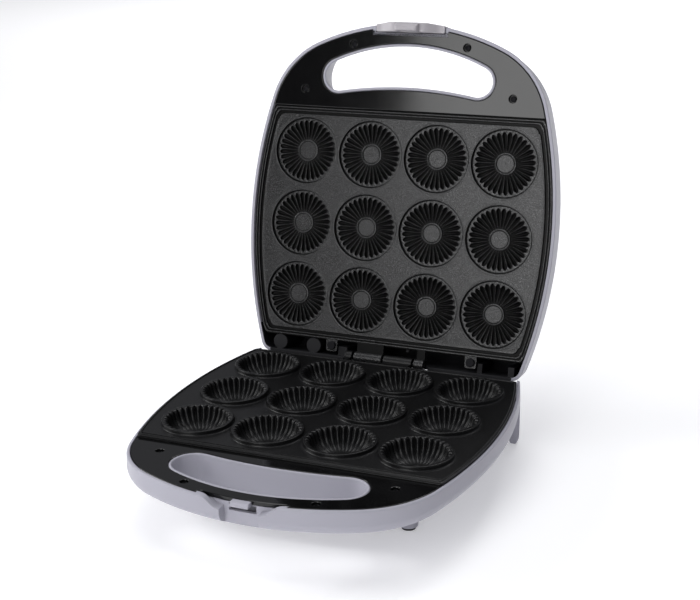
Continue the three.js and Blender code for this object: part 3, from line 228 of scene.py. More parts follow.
def handle_loop(hole, offset):
    """The outline of a handle opening, grown by an offset."""
    end, end_r = hole["end"], hole["end_r"]
    front_r = touching(end, end_r, HANDLE_FRONT, -1)
    rear_r = touching(end, end_r, hole["rear_y"], 1)
    front, rear = (0, HANDLE_FRONT + front_r), (0, hole["rear_y"] + rear_r)
    a, b = towards(front, end), towards(end, rear)
    right = np.concatenate([
        arc(front, front_r + offset, -RIGHT_ANGLE, a, HOLE_STEPS[0]),
        arc(end, end_r + offset, a, b, HOLE_STEPS[1], False),
        arc(rear, rear_r - offset, b - math.pi, -RIGHT_ANGLE, HOLE_STEPS[2], False),
    ])
    return np.concatenate([right, mirrored(right[1:-1])])


def circle(radius, count, centre=(0, 0)):
    return arc(centre, radius, 0, TAU, count)[:-1]


def rounded_box(x0, x1, y0, y1, r, steps=4):
    corners = [
        ((x1 - r, y0 + r), -RIGHT_ANGLE),
        ((x1 - r, y1 - r), 0),
        ((x0 + r, y1 - r), RIGHT_ANGLE),
        ((x0 + r, y0 + r), math.pi),
    ]
    return np.concatenate([arc(centre, r, start, start + RIGHT_ANGLE, steps) for centre, start in corners])


# Meshes
def raw(name, vertices, faces):
    mesh = bpy.data.meshes.new(name)
    mesh.from_pydata([tuple(v) for v in vertices], [], faces)
    mesh.update()
    obj = bpy.data.objects.new(name, mesh)
    bpy.context.scene.collection.objects.link(obj)
    return obj


def loft(name, rings, closed=False):
    """A skin over rings of equal counts, each (points, heights); open ends get flat caps."""
    count = len(rings[0][0])
    vertices, faces = [], []
    for points, heights in rings:
        heights = np.broadcast_to(heights, count)
        vertices += [(p[0], p[1], h) for p, h in zip(points, heights)]
    last = len(rings) - 1
    for k in range(last + (1 if closed else 0)):
        low, high = k * count, ((k + 1) % (last + 1)) * count
        faces += [(low + i, low + (i + 1) % count, high + (i + 1) % count, high + i) for i in range(count)]
    if not closed:
        faces.append(tuple(range(count))[::-1])
        faces.append(tuple(last * count + i for i in range(count)))
    return raw(name, vertices, faces)


def prism(name, points, z0, z1):
    return loft(name, [(points, z0), (points, z1)])


def turned(name, profile, count=48, axis="Z"):
    """A closed profile of (radius, height) pairs turned about an upright axis, or about X or Y."""
    obj = loft(name, [(circle(radius, count), height) for radius, height in profile])
    if axis == "X":
        obj.data.transform(Matrix.Rotation(RIGHT_ANGLE, 4, "Y"))
    if axis == "Y":
        obj.data.transform(Matrix.Rotation(-RIGHT_ANGLE, 4, "X"))
    return obj


def moved(obj, x, y, z=0):
    obj.data.transform(Matrix.Translation((x, y, z)))
    return obj


def block(name, x0, x1, y0, y1, z0, z1):
    return prism(name, np.array([(x0, y0), (x1, y0), (x1, y1), (x0, y1)]), z0, z1)


def front_prism(name, points, y0, y1):
    """A shape drawn on the front view as (x, z), pushed through from y0 to y1."""
    obj = prism(name, points, 0, y1 - y0)
    obj.data.transform(Matrix.Translation((0, y1, 0)) @ Matrix.Rotation(RIGHT_ANGLE, 4, "X"))
    return obj


def side_prism(name, points, x0, x1):
    """A shape drawn on the side view as (y, z), pushed through from x0 to x1."""
    obj = prism(name, np.array(points), x0, x1)
    obj.data.transform(Matrix(((0, 0, 1, 0), (1, 0, 0, 0), (0, 1, 0, 0), (0, 0, 0, 1))))
    return obj


def outward(obj):
    """Turns a closed skin whose faces look inward."""
    skin_faces = bmesh.new()
    skin_faces.from_mesh(obj.data)
    if skin_faces.calc_volume(signed=True) < 0:
        bmesh.ops.reverse_faces(skin_faces, faces=skin_faces.faces)
        skin_faces.to_mesh(obj.data)
    skin_faces.free()
    return obj


def applied(obj):
    """Puts an object's modifiers into its mesh."""
    graph = bpy.context.evaluated_depsgraph_get()
    mesh = bpy.data.meshes.new_from_object(obj.evaluated_get(graph))
    obj.modifiers.clear()
    obj.data = mesh
    return obj


def changed(first, second, operation):
    outward(first)
    outward(second)
    change = first.modifiers.new("change", "BOOLEAN")
    change.object = second
    change.operation = operation
    change.solver = "MANIFOLD"
    applied(first)
    bpy.data.objects.remove(second)
    return first


def cut(first, *others):
    for other in others:
        changed(first, other, "DIFFERENCE")
    return first


def add(first, *others):
    for other in others:
        changed(first, other, "UNION")
    return first


def meet(first, second):
    return changed(first, second, "INTERSECT")


def joined(name, parts):
    """Puts several closed skins into one mesh, as they are."""
    whole = bmesh.new()
    for part in parts:
        whole.from_mesh(outward(part).data)
        bpy.data.objects.remove(part)
    mesh = bpy.data.meshes.new(name)
    whole.to_mesh(mesh)
    whole.free()
    obj = bpy.data.objects.new(name, mesh)
    bpy.context.scene.collection.objects.link(obj)
    return obj


def soften(obj, width, segments=3, angle=40):
    """Rounds the sharp edges."""
    bevel = obj.modifiers.new("soften", "BEVEL")
    bevel.width = width
    bevel.segments = segments
    bevel.limit_method = "ANGLE"
    bevel.angle_limit = math.radians(angle)
    return applied(obj)


def rounded(obj, voxel, passes=3):
    """Makes a small solid's skin even and rounds its edges."""
    remesh = obj.modifiers.new("even", "REMESH")
    remesh.mode = "VOXEL"
    remesh.voxel_size = voxel
    smooth = obj.modifiers.new("smooth", "SMOOTH")
    smooth.factor = 0.5
    smooth.iterations = passes
    return applied(obj)


def triangulated(obj):
    """Cuts the large faces that a boolean leaves, so that each face has its own place."""
    net = bmesh.new()
    net.from_mesh(obj.data)
    bmesh.ops.triangulate(net, faces=[face for face in net.faces if len(face.verts) > 4])
    net.to_mesh(obj.data)
    net.free()
    return obj


def marked(obj, chosen=lambda middle, normal: True):
    """Gives its piece's second material to the faces whose middle and normal are chosen, or to all."""
    for face in obj.data.polygons:
        if chosen(face.center, face.normal):
            face.material_index = 1
    return obj


def piece(obj, place, body, materials, replaces, angle=32):
    """Places a finished mesh, smooths it up to an angle, gives it its materials, hangs it on its body and
    hides the CAD pieces that it replaces.
    """
    obj.data.transform(place)
    obj.data.shade_smooth()
    obj.data.set_sharp_from_angle(angle=math.radians(angle))
    weighted = obj.modifiers.new("weighted", "WEIGHTED_NORMAL")
    weighted.keep_sharp = True
    applied(obj)
    chosen = [face.material_index for face in obj.data.polygons]
    obj.data.materials.clear()
    for material in materials:
        obj.data.materials.append(material)
    if len(materials) > 1:
        obj.data.polygons.foreach_set("material_index", chosen)
    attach(obj, body)
    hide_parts(*replaces)
    return obj


# Materials
def shader(name):
    material = bpy.data.materials.new(name)
    material.use_nodes = True
    nodes, links = material.node_tree.nodes, material.node_tree.links
    return material, nodes, links, nodes["Principled BSDF"]


def noise(nodes, links, scale, detail, roughness=0.55):
    place = nodes.get("place") or nodes.new("ShaderNodeTexCoord")
    place.name = "place"
    texture = nodes.new("ShaderNodeTexNoise")
    texture.inputs["Scale"].default_value = scale
    texture.inputs["Detail"].default_value = detail
    texture.inputs["Roughness"].default_value = roughness
    links.new(place.outputs["Object"], texture.inputs["Vector"])
    return texture.outputs["Fac"]


def tint(nodes, links, bsdf, source, stops):
    """Colours a surface by a source, through stops of (level, colour)."""
    node = nodes.new("ShaderNodeValToRGB")
    elements = node.color_ramp.elements
    while len(elements) < len(stops):
        elements.new(0.5)
    for element, (position, colour) in zip(elements, stops):
        element.position = position
        element.color = (*colour, 1)
    links.new(source, node.inputs["Fac"])
    links.new(node.outputs["Color"], bsdf.inputs["Base Color"])


def spread(nodes, links, source, low, high, start=0.0, end=1.0):
    """Maps a source's range from start to end onto low to high."""
    node = nodes.new("ShaderNodeMapRange")
    node.inputs["From Min"].default_value = start
    node.inputs["From Max"].default_value = end
    node.inputs["To Min"].default_value = low
    node.inputs["To Max"].default_value = high
    links.new(source, node.inputs["Value"])
    return node.outputs["Result"]


def worn(nodes, links, bsdf, source, low, high):
    """Lets the roughness wander between two levels."""
    links.new(spread(nodes, links, source, low, high), bsdf.inputs["Roughness"])


def bumped(nodes, links, bsdf, height, strength, distance, edge=0.0):
    """Gives a surface a grain and, where edge is a radius in metres, rounds its edges in the shading."""
    bump = nodes.new("ShaderNodeBump")
    bump.inputs["Strength"].default_value = strength
    bump.inputs["Distance"].default_value = distance
    links.new(height, bump.inputs["Height"])
    if edge:
        bevel = nodes.new("ShaderNodeBevel")
        bevel.samples = 6
        bevel.inputs["Radius"].default_value = edge
        links.new(bevel.outputs["Normal"], bump.inputs["Normal"])
    links.new(bump.outputs["Normal"], bsdf.inputs["Normal"])


def plastic(name, low, high, rough, grain, edge=0.0006, specular=0.5):
    material, nodes, links, bsdf = shader(name)
    broad = noise(nodes, links, scale=9, detail=3)
    smear = noise(nodes, links, scale=55, detail=5)
    fine = noise(nodes, links, scale=2600, detail=2)
    tint(nodes, links, bsdf, broad, [(0.3, low), (0.7, high)])
    worn(nodes, links, bsdf, smear, rough - 0.04, rough + 0.05)
    bumped(nodes, links, bsdf, fine, grain, 0.0002, edge)
    bsdf.inputs["Specular IOR Level"].default_value = specular
    return material


def coated_metal(name, low, high, speck, rough, specular, grain=0.18):
    material, nodes, links, bsdf = shader(name)
    cloud = noise(nodes, links, scale=1700, detail=3, roughness=0.7)
    wear = noise(nodes, links, scale=18, detail=5)
    orange_peel = noise(nodes, links, scale=1500, detail=3)
    tint(nodes, links, bsdf, cloud, [(0.38, low), (0.53, high), (0.66, speck)])
    worn(nodes, links, bsdf, wear, rough - 0.06, rough + 0.08)
    bumped(nodes, links, bsdf, orange_peel, grain, 0.0003, 0.0004)
    bsdf.inputs["Metallic"].default_value = 0.35
    bsdf.inputs["Specular IOR Level"].default_value = specular
    return material


def steel(name, colour, rough):
    material, nodes, links, bsdf = shader(name)
    streaks = noise(nodes, links, scale=300, detail=4)
    darker = tuple(level * 0.86 for level in colour)
    tint(nodes, links, bsdf, streaks, [(0.3, darker), (0.7, colour)])
    worn(nodes, links, bsdf, streaks, rough - 0.05, rough + 0.08)
    bumped(nodes, links, bsdf, streaks, 0.1, 0.0002)
    bsdf.inputs["Metallic"].default_value = 1
    return material


def lens_material(name, colour):
    material, nodes, links, bsdf = shader(name)
    depth = noise(nodes, links, scale=700, detail=2)
    darker = tuple(level * 0.7 for level in colour)
    tint(nodes, links, bsdf, depth, [(0.3, darker), (0.7, colour)])
    bsdf.inputs["Roughness"].default_value = 0.08
    bsdf.inputs["Transmission Weight"].default_value = 0.35
    bsdf.inputs["Coat Weight"].default_value = 0.6
    return material


white = plastic("white_moulding", (0.37, 0.365, 0.417), (0.40, 0.395, 0.45),
                rough=0.36, grain=0.05, specular=0.18)
black = plastic("black_gloss", (0.0022, 0.0022, 0.0023), (0.003, 0.003, 0.0033),
                rough=0.10, grain=0.02, edge=0.0005)
# Painted shade: a near-black copy of the white moulding for the lid's inner faces and parts behind the plate,
# where the white plastic lies in shadow
painted_shade = plastic("painted_shade_moulding", (0.009, 0.009, 0.011), (0.013, 0.013, 0.015),
                 rough=0.6, grain=0.05, specular=0.25)
latch_grey = plastic("latch_moulding", (0.40, 0.38, 0.405), (0.44, 0.42, 0.445),
                     rough=0.34, grain=0.06, specular=0.35)
rubber = plastic("foot_rubber", (0.010, 0.010, 0.010), (0.016, 0.016, 0.016), rough=0.82, grain=0.5)
ceramic = plastic("thermostat_ceramic", (0.66, 0.62, 0.54), (0.72, 0.68, 0.60), rough=0.6, grain=0.3)
base_coating = coated_metal("base_nonstick", (0.004, 0.004, 0.0042), (0.007, 0.007, 0.0074),
                            (0.02, 0.02, 0.021), rough=0.31, specular=0.4)
lid_coating = coated_metal("lid_nonstick", (0.006, 0.006, 0.0065), (0.016, 0.016, 0.0165),
                           (0.09, 0.09, 0.093), rough=0.24, specular=0.55, grain=0.4)
# Painted shade: a darker copy of the lid plate's coating for the rosettes' flutes, the plate's edge grooves
# and the hinge webs, where shade falls
painted_shade_coating = coated_metal("painted_shade_nonstick", (0.002, 0.002, 0.002), (0.0035, 0.0035, 0.0035),
                             (0.007, 0.007, 0.007), rough=0.34, specular=0.15)
bright_steel = steel("zinc_steel", (0.55, 0.56, 0.58), 0.32)
element_steel = steel("element_sheath", (0.24, 0.24, 0.25), 0.42)
sheet_steel = steel("shield_sheet", (0.62, 0.63, 0.64), 0.30)
dark_screw = steel("dark_screw", (0.018, 0.018, 0.02), 0.5)
amber = lens_material("amber_lens", (0.75, 0.22, 0.03))
green = lens_material("green_lens", (0.06, 0.45, 0.12))


# Sections of the housings
def base_section(offset):
    """Rings of (inset, height, rear inset) from the base's flat underside over the slope up to the rim."""
    shoulder_z, turn_z = RIM_Z - SHOULDER_DROP, UNDERSIDE_Z + TURN_R
    reach = (shoulder_z - turn_z) * math.cos(SLOPE) - (SHOULDER_R - TURN_R)
    turn_inset = SHOULDER_R + reach / math.sin(SLOPE)
    lower, middle, upper = [], [], []
    for angle in np.linspace(0, SLOPE, 7):
        radius = TURN_R - offset
        lift = (1 - math.cos(angle)) / (1 - math.cos(SLOPE))
        rear = offset + REAR_EDGE * (1 - math.sqrt(1 - (1 - lift) ** 2))
        lower.append((turn_inset - radius * math.sin(angle), turn_z - radius * math.cos(angle), rear))
    for angle in np.linspace(SLOPE, RIGHT_ANGLE, 11):
        radius = SHOULDER_R - offset
        upper.append((SHOULDER_R - radius * math.sin(angle), shoulder_z - radius * math.cos(angle), offset))
    start, end = lower[-1], upper[0]
    for t in np.linspace(0, 1, 6)[1:-1]:
        middle.append((start[0] + (end[0] - start[0]) * t, start[1] + (end[1] - start[1]) * t, offset))
    return lower + middle + upper


def section_height(inset):
    """Height of the base's underside at an inset."""
    rings = base_section(0)[::-1]
    return float(np.interp(inset, [ring[0] for ring in rings], [ring[1] for ring in rings]))


def lid_section(offset, steps=18):
    """Rings of (inset, height, rear inset) over the lid's round edge."""
    across, up = LID_ROUND - offset, LID_HEIGHT - LID_WALL_HEIGHT - offset
    rings = []
    for angle in np.linspace(0, RIGHT_ANGLE, steps + 1):
        inset = LID_DRAFT + LID_ROUND - across * math.cos(angle)
        rear = LID_REAR_SHARE * (inset - LID_DRAFT - offset) + offset
        rings.append((inset, LID_WALL_HEIGHT + up * math.sin(angle), rear))
    return rings


def lid_height_at(inset):
    rings = lid_section(0)
    return float(np.interp(inset, [ring[0] for ring in rings], [ring[1] for ring in rings]))


def skin(name, rings):
    return loft(name, [(outline(inset, rear), z) for inset, z, rear in rings])


def wing_line(outer_x, outer_z, inner_x, inner_z, steps=16):
    """A bowed line on the front view, as on the recess's wings and the latch's."""
    t = np.linspace(0, 1, steps + 1)
    bow = WING_BOW * np.sin(TAU * t)
    return np.stack([outer_x + (inner_x - outer_x) * t, outer_z + (inner_z - outer_z) * t + bow], 1)


def recess_loop(extra):
    """The catch recess seen from the front: two wings and a channel down the middle."""
    half, channel = RECESS_HALF + extra, CHANNEL_HALF + extra
    wings = wing_line(half, RIM_Z, channel, RIM_Z - CHANNEL_DROP - extra)
    right = np.concatenate([[(half, RIM_Z + OVERRUN)], wings, [(channel, -OVERRUN)]])
    return np.concatenate([right, mirrored(right)])


def tube(name, hole, bottom, top, flare=0.0):
    """The wall round a handle opening, round at both lips; bottom and top are heights for each point."""
    inner, outer = handle_loop(hole, 0), handle_loop(hole, TUBE_WALL)
    far_inner, far_outer = handle_loop(hole, flare), handle_loop(hole, flare + TUBE_WALL)
    lips = [(0.0, 0.0), (0.06, 0.35), (0.25, 0.7), (0.5, TUBE_LIP), (0.75, 0.7), (0.94, 0.35), (1.0, 0.0)]
    rings = [(far_inner + (far_outer - far_inner) * share, top + rise - TUBE_LIP) for share, rise in lips]
    rings += [(inner + (outer - inner) * share, bottom - rise + TUBE_LIP) for share, rise in lips[::-1]]
    return loft(name, rings, closed=True)


# The base housing
def recess_prism(name, extra):
    return front_prism(name, recess_loop(extra), FRONT_Y - OVERRUN, FRONT_Y + RECESS_REACH)


def recess_backing():
    """What the cavity leaves behind the catch recess: a wall, and a shelf under the handle cover's lip."""
    shelf_z = RIM_Z - RIM_STEP
    wall = cut(prism("below", outline(0), 0, shelf_z),
               prism("deep", outline(RECESS_DEPTH + WALL), -1, RIM_Z))
    shelf = cut(prism("above", outline(0), shelf_z - 0.01, RIM_Z),
                prism("lip", outline(EDGE_INSET + COVER_LIP - COVER_PLATE_GAP), shelf_z - 1, RIM_Z + 1))
    return meet(recess_prism("backing", WALL), add(wall, shelf))


def base_tray():
    turns = np.linspace(0, RIGHT_ANGLE, 6)
    rim = [(RIM_INSET + RIM_R - RIM_R * math.cos(t), RIM_Z - RIM_R + RIM_R * math.sin(t), 0.0) for t in turns]
    outer = skin("base_shell", [*base_section(0), *rim])
    cavity = skin("cavity", [*base_section(WALL), (WALL, RIM_Z + OVERRUN, WALL)])
    shell = cut(outer, cut(cavity, recess_backing()))
    recess = cut(recess_prism("recess", 0),
                 prism("behind", outline(RECESS_DEPTH), -2 * OVERRUN, RIM_Z + 2 * OVERRUN))
    slot_top, slot_y = RIM_Z - LEDGE_TOP_DROP - LEDGE_HEIGHT, FRONT_Y + RECESS_DEPTH
    gland = [(GLAND_R, REAR_Y - 2 * WALL), (GLAND_R, REAR_Y + OVERRUN)]
    return cut(
        shell,
        recess,
        prism("hole", handle_loop(BASE_HOLE, TUBE_WALL / 2), 0, RIM_Z + OVERRUN),
        block("slot", -SLOT_HALF, SLOT_HALF, slot_y - OVERRUN, slot_y + 2 * WALL,
              slot_top - SLOT_HEIGHT, slot_top),
        block("step", -HALF_WIDTH, HALF_WIDTH, REAR_Y - REAR_STEP_LENGTH, REAR_Y + OVERRUN,
              RIM_Z - REAR_STEP_DEPTH, RIM_Z + OVERRUN),
        moved(turned("gland_hole", gland, 32, "Y"), GLAND_X, 0, GLAND_Z),
    )


def ledge():
    """The ledge in the recess that the latch's hook catches under."""
    top, bottom = RIM_Z - LEDGE_TOP_DROP, RIM_Z - LEDGE_TOP_DROP - LEDGE_HEIGHT
    y, inner = FRONT_Y + LEDGE_INSET, FRONT_Y + RECESS_DEPTH + WALL / 2
    nose = y - LEDGE_NOSE
    shape = [(inner, top), (y - LEDGE_BEVEL, top), (nose, bottom + 1), (nose, bottom), (inner, bottom)]
    return soften(side_prism("catch_ledge", shape, -LEDGE_HALF, LEDGE_HALF), width=0.3, segments=2)


def rear_leg(side):
    """A leg in a rear corner; its skin stays just inside the tray's, so that no two faces share a place."""
    rings = []
    for t in np.linspace(0, 1, 7):
        x = LEG_FOOT_X + (HALF_WIDTH - LEG_FOOT_X) * t
        width = LEG_FOOT_WIDTH + (LEG_TOP_WIDTH - LEG_FOOT_WIDTH) * t
        length = LEG_FOOT_LENGTH + (LEG_TOP_LENGTH - LEG_FOOT_LENGTH) * t
        points = rounded_box(x - width, x, REAR_Y - length, REAR_Y, LEG_CORNER_R)
        rings.append((points if side > 0 else mirrored(points), LEG_HEIGHT * t))
    corner = prism("inside", outline(LEG_SKIN_GAP), -OVERRUN, LEG_HEIGHT + OVERRUN)
    return soften(meet(loft("leg", rings), corner), width=0.5)


def foot_boss(side):
    profile = [(5.0, 2.0), (5.9, 2.0), (6.2, 2.1), (6.3, 2.4), (7.1, 13.4), (7.6, 14.4), (8.6, 15.2)]
    return moved(turned("boss", profile, 40), side * FOOT_X, FOOT_Y)


def base_housing():
    tray = base_tray()
    loop = handle_loop(BASE_HOLE, TUBE_WALL / 2)
    bottom = np.array([section_height(inset_at(point)) for point in loop])
    wall = tube("tube", BASE_HOLE, bottom - TUBE_SINK, RIM_Z)
    parts = [tray, wall, ledge(), rear_leg(-1), rear_leg(1), foot_boss(-1), foot_boss(1)]
    piece(joined("base_shell", parts), BASE_PLACE, "base", [white], ["base_housing"])


# The lid housing
def latch_pocket(name, half, inset, top):
    return block(name, -half, half, FRONT_Y - OVERRUN, FRONT_Y + inset, LATCH_LOW, top)


def lid_cover_skin():
    turns = np.linspace(0, RIGHT_ANGLE, 5)
    rim = [(LID_RIM_R - LID_RIM_R * math.sin(t), 1.0 - LID_RIM_R * math.cos(t), 0.0) for t in turns]
    outer = skin("lid_shell", [*rim, (LID_DRAFT / 2, 11.8, 0.0), *lid_section(0)])
    cavity = skin("cavity", [(WALL, -1.6, WALL), (WALL, 5.1, WALL), *lid_section(WALL, 12)])
    kept = latch_pocket("kept", POCKET_HALF + POCKET_WALL, POCKET_INSET + POCKET_WALL,
                        LATCH_TOP + POCKET_WALL)
    narrow = handle_loop(LID_HOLE, TUBE_WALL / 2)
    wide = handle_loop(LID_HOLE, FLARE + TUBE_WALL / 2)
    above = LID_HEIGHT + OVERRUN
    return cut(
        outer,
        cut(cavity, kept),
        latch_pocket("pocket", POCKET_HALF, POCKET_INSET, LATCH_TOP),
        loft("hole", [(narrow, -OVERRUN), (narrow, FLARE_START), (wide, FLARE_END), (wide, above)]),
        block("notch", KNUCKLES_START - NOTCH_MARGIN, KNUCKLES_END + NOTCH_MARGIN, REAR_Y - 2 * WALL,
              REAR_Y + OVERRUN, -OVERRUN, NOTCH_TOP),
        *[prism("lens_hole", circle(LENS_HOLE_R, 32, (side * LENS_X, LENS_Y)), LENS_HOLE_LOW, above)
          for side in SIDES],
    )


def shaded_inside(middle, normal):
    """True for the lid's inner faces behind the plate, which take painted shade: its walls, its roof and the
    rim over the hinge.
    """
    side = SIDE_R - math.dist(SIDE_C, (abs(middle.x), middle.y))
    rear = REAR_Y - middle.y
    across = normal.x * math.copysign(1, middle.x)
    above_rim, inside = middle.z > 1.2, WALL - 0.1
    wall = above_rim and (normal.y < -0.5 or across < -0.5 and rear > inside)
    roof = above_rim and normal.z < -0.3 and min(side, rear) > inside
    rim = normal.z < -0.7 and 0.7 < rear < 3 and side > 6
    return middle.y > 80 and (wall or roof or rim)


def lid_inner_parts():
    """Posts, ribs and standoffs behind the plate, cut off within the lid's wall, all given the second
    material, painted shade.
    """
    inner = []
    post = [(2.0, 5.6), (4.2, 5.6), (4.6, 6.0), (4.9, INNER_TOP)]
    standoff = [(4.2, 3.0), (5.6, 3.0), (6.0, 3.4), (6.0, INNER_TOP)]
    for x in LUG_XS:
        inner.append(moved(turned("post", post, 32), x, LUG_Y))
    for x, width in INNER_RIBS:
        rib = block("rib", x - width / 2, x + width / 2, REAR_Y - 9.4, REAR_Y - 1.2, 4.7, INNER_TOP)
        inner.append(soften(rib, width=0.5, segments=2))
    for x in STANDOFF_XS:
        inner.append(moved(turned("standoff", standoff, 32), x, PLATE_REAR + 6))
    within = [(1.0, -1.6, 1.0), (1.0, 11.8, 1.0), *lid_section(1.0)]
    return [marked(meet(obj, skin("limit", within))) for obj in inner]


def lid_housing():
    # The inner faces behind the plate take the second material, painted shade
    shell = marked(triangulated(lid_cover_skin()), shaded_inside)
    loop = handle_loop(LID_HOLE, FLARE + TUBE_WALL / 2)
    tops = np.array([lid_height_at(inset_at(point)) for point in loop])
    wall = tube("tube", LID_HOLE, LID_COVER_RISE, tops + TUBE_SINK, FLARE)
    whole = joined("lid_shell", [shell, wall, *lid_inner_parts()])
    piece(whole, LID_PLACE, "lid", [white, painted_shade], ["lid_housing"])


# Handle covers and their screws; up is 1 where the hidden side is above the face, else -1
def handle_cover(name, face, up, hole, notch, place, body, node):
    low, high = sorted((face, face + up * COVER_THICKNESS))
    below, above = low - OVERRUN, high + OVERRUN
    slab = cut(
        prism(name, outline(EDGE_INSET), low, high),
        block("plate_side", -HALF_WIDTH, HALF_WIDTH, PLATE_FRONT - COVER_PLATE_GAP, REAR_Y, below, above),
        prism("hole", handle_loop(hole, COVER_HOLE_GAP), below, above),
        notch,
    )
    slab = soften(slab, COVER_ROUND, segments=4, angle=50)
    dish = [(3.2, -0.5), (3.1, 0.02), (2.85, 0.3), (2.75, 0.7), (2.75, SCREW_SEAT), (1.5, SCREW_SEAT + 0.05),
            (1.5, COVER_THICKNESS + OVERRUN)]
    for x, y in SCREWS:
        cutter = [(radius, face + up * depth) for radius, depth in dish][::up]
        slab = cut(slab, moved(turned("dish", cutter, 32), x, y))
    piece(slab, place, body, [black], [node], 28)


def base_cover_strip(name, reach, inset):
    return cut(block(name, -reach, reach, FRONT_Y - OVERRUN, FRONT_Y + RECESS_REACH, 0, RIM_Z + OVERRUN),
               prism("inside", outline(inset), -OVERRUN, RIM_Z + 2 * OVERRUN))


def base_cover():
    notch = add(base_cover_strip("notch", RECESS_HALF + WALL + COVER_PLATE_GAP, EDGE_INSET + COVER_LIP),
                base_cover_strip("deeper", RECESS_HALF, COVER_NOTCH))
    handle_cover("base_handle_trim", RIM_Z, -1, BASE_HOLE, notch, BASE_PLACE, "base", "base_handle_cover")


def lid_cover():
    notch = block("notch", -LID_NOTCH_HALF, LID_NOTCH_HALF, FRONT_Y - OVERRUN, FRONT_Y + LID_NOTCH_INSET,
                  -OVERRUN, LID_HEIGHT)
    handle_cover("lid_handle_trim", LID_COVER_RISE, 1, LID_HOLE, notch, LID_PLACE, "lid", "lid_handle_cover")


def cover_screw(name, x, y, face, up, place, body, node):
    """A pan-head screw with a cross recess, sunk in its dish."""
    seat = face + up * SCREW_SEAT
    head = seat - up * SCREW_HEAD
    crown = [(0.2, 0), (1.4, 0.02), (1.95, 0.2), (2.25, 0.6)]
    profile = [(radius, head + up * depth) for radius, depth in crown]
    shank = [(SCREW_HEAD_R, 0), (SCREW_SHANK_R, 0), (SCREW_SHANK_R, 8.5), (0.7, 9)]
    profile += [(radius, seat + up * depth) for radius, depth in shank]
    screw = moved(turned(name, profile[::up], 32), x, y)
    ends = sorted((head - up * 0.5, head + up * CROSS_DEPTH))
    for across, along in ((CROSS_HALF, CROSS_REACH), (CROSS_REACH, CROSS_HALF)):
        screw = cut(screw, block("cross", x - across, x + across, y - along, y + along, *ends))
    piece(screw, place, body, [dark_screw], [node])


# Baking plates
def clipped(inset, corner_r=1.5):
    """The plate's outline: the plan outline between straight front and rear edges, round at its corners."""
    loop = outline(EDGE_INSET + inset, steps=PLATE_STEPS)
    y0, y1 = PLATE_FRONT + inset, PLATE_REAR - inset
    half = loop[: len(loop) // 2 + 1]
    rows = half[half[:, 0] > 0]
    rows = rows[np.argsort(rows[:, 1])]
    ys = y0 + (y1 - y0) * (1 - np.cos(np.linspace(0, math.pi, 81))) / 2
    side = np.stack([np.interp(ys, rows[:, 1], rows[:, 0]), ys], 1)
    crowded = np.sin(np.linspace(0, RIGHT_ANGLE, 30))
    front = np.array([(x, y0) for x in side[0][0] * crowded[:-1]])
    back = np.array([(x, y1) for x in side[-1][0] * crowded[::-1][1:]])
    right = np.concatenate([front, side, back])
    for x, y, up in ((side[0][0], y0, -1), (side[-1][0], y1, 1)):
        centre = (x - corner_r, y - up * corner_r)
        away = right - centre
        near = (away[:, 0] > 0) & (away[:, 1] * up > 0)
        right[near] = centre + corner_r * away[near] / np.linalg.norm(away[near], axis=1)[:, None]
    return np.concatenate([right, mirrored(right[1:-1])])


def plate_slab(name, back, face, profile, corners=(1.5, 1.5), foot=0.05):
    """A plate whose edge runs in through a profile of (inset, height over the face), on a foot of its own."""
    up = 1 if face > back else -1
    start, end = profile[0][0], profile[-1][0]
    sides = [(foot + 0.1, 0.0), (foot, 0.1), (foot, 0.8), (start, 0.9)]
    rings = [(clipped(inset), back + up * height) for inset, height in sides]
    for inset, height in profile:
        corner_r = corners[0] + (corners[1] - corners[0]) * min(1, (inset - start) / (end - start))
        rings.append((clipped(inset, corner_r), face + up * height))
    return loft(name, rings[::up])


def cup_mesh(x, y):
    """One fluted cup in its raised collar, closed below by the bowl's back."""
    count = FLUTES * FLUTE_STEPS
    wave = np.abs(np.sin(FLUTES / 2 * np.linspace(0, TAU, count, endpoint=False))) ** 0.9
    low = CUP_FLOOR - 1.5
    bowl_back = [(CENTRE_R, low), (8.2, low), (12.0, CUP_FLOOR - 1.1), (16.5, CUP_FLOOR + 0.6),
                 (20.0, CUP_FLOOR + 3.6), (23.2, CUP_FLOOR + 7.4), (24.0, BACK_Z + 0.6), (26.2, BACK_Z + 1.2)]
    collar = [(26.0, FACE_Z - 0.05), (25.2, FACE_Z + 0.06), (24.75, FACE_Z + 0.28), (24.5, FACE_Z + 0.7),
              (24.38, FACE_Z + 1.4), (24.3, COLLAR_TOP - 0.55), (24.18, COLLAR_TOP - 0.2),
              (23.95, COLLAR_TOP - 0.03), (23.6, COLLAR_TOP)]
    rings = [(circle(radius, count), height) for radius, height in bowl_back + collar]
    fluted = [(22.98, 12.95, 0.5), (22.86, 12.7, 1.3), (22.7, 12.2, 2.0), (22.4, 11.0, 2.35),
              (21.9, 9.4, 2.3), (21.2, 7.6, 2.2), (20.4, 6.1, 2.05), (19.2, 4.4, 1.9), (17.7, 2.9, 1.7),
              (16.0, 1.7, 1.5), (14.0, 0.8, 1.25), (11.8, 0.3, 0.9), (9.6, 0.06, 0.45), (8.3, 0.0, 0.12)]
    for radius, height, depth in fluted:
        points = circle(1, count) * (radius - depth * wave)[:, None]
        rings.append((points, CUP_FLOOR + height + 0.10 * depth * wave))
    floor = [(7.6, -0.02), (6.4, -0.04), (6.1, 0.1), (5.7, 0.12), (5.4, -0.02), (CENTRE_R, -0.04)]
    rings += [(circle(radius, count), CUP_FLOOR + height) for radius, height in floor]
    return moved(loft("cup", rings), x, y)


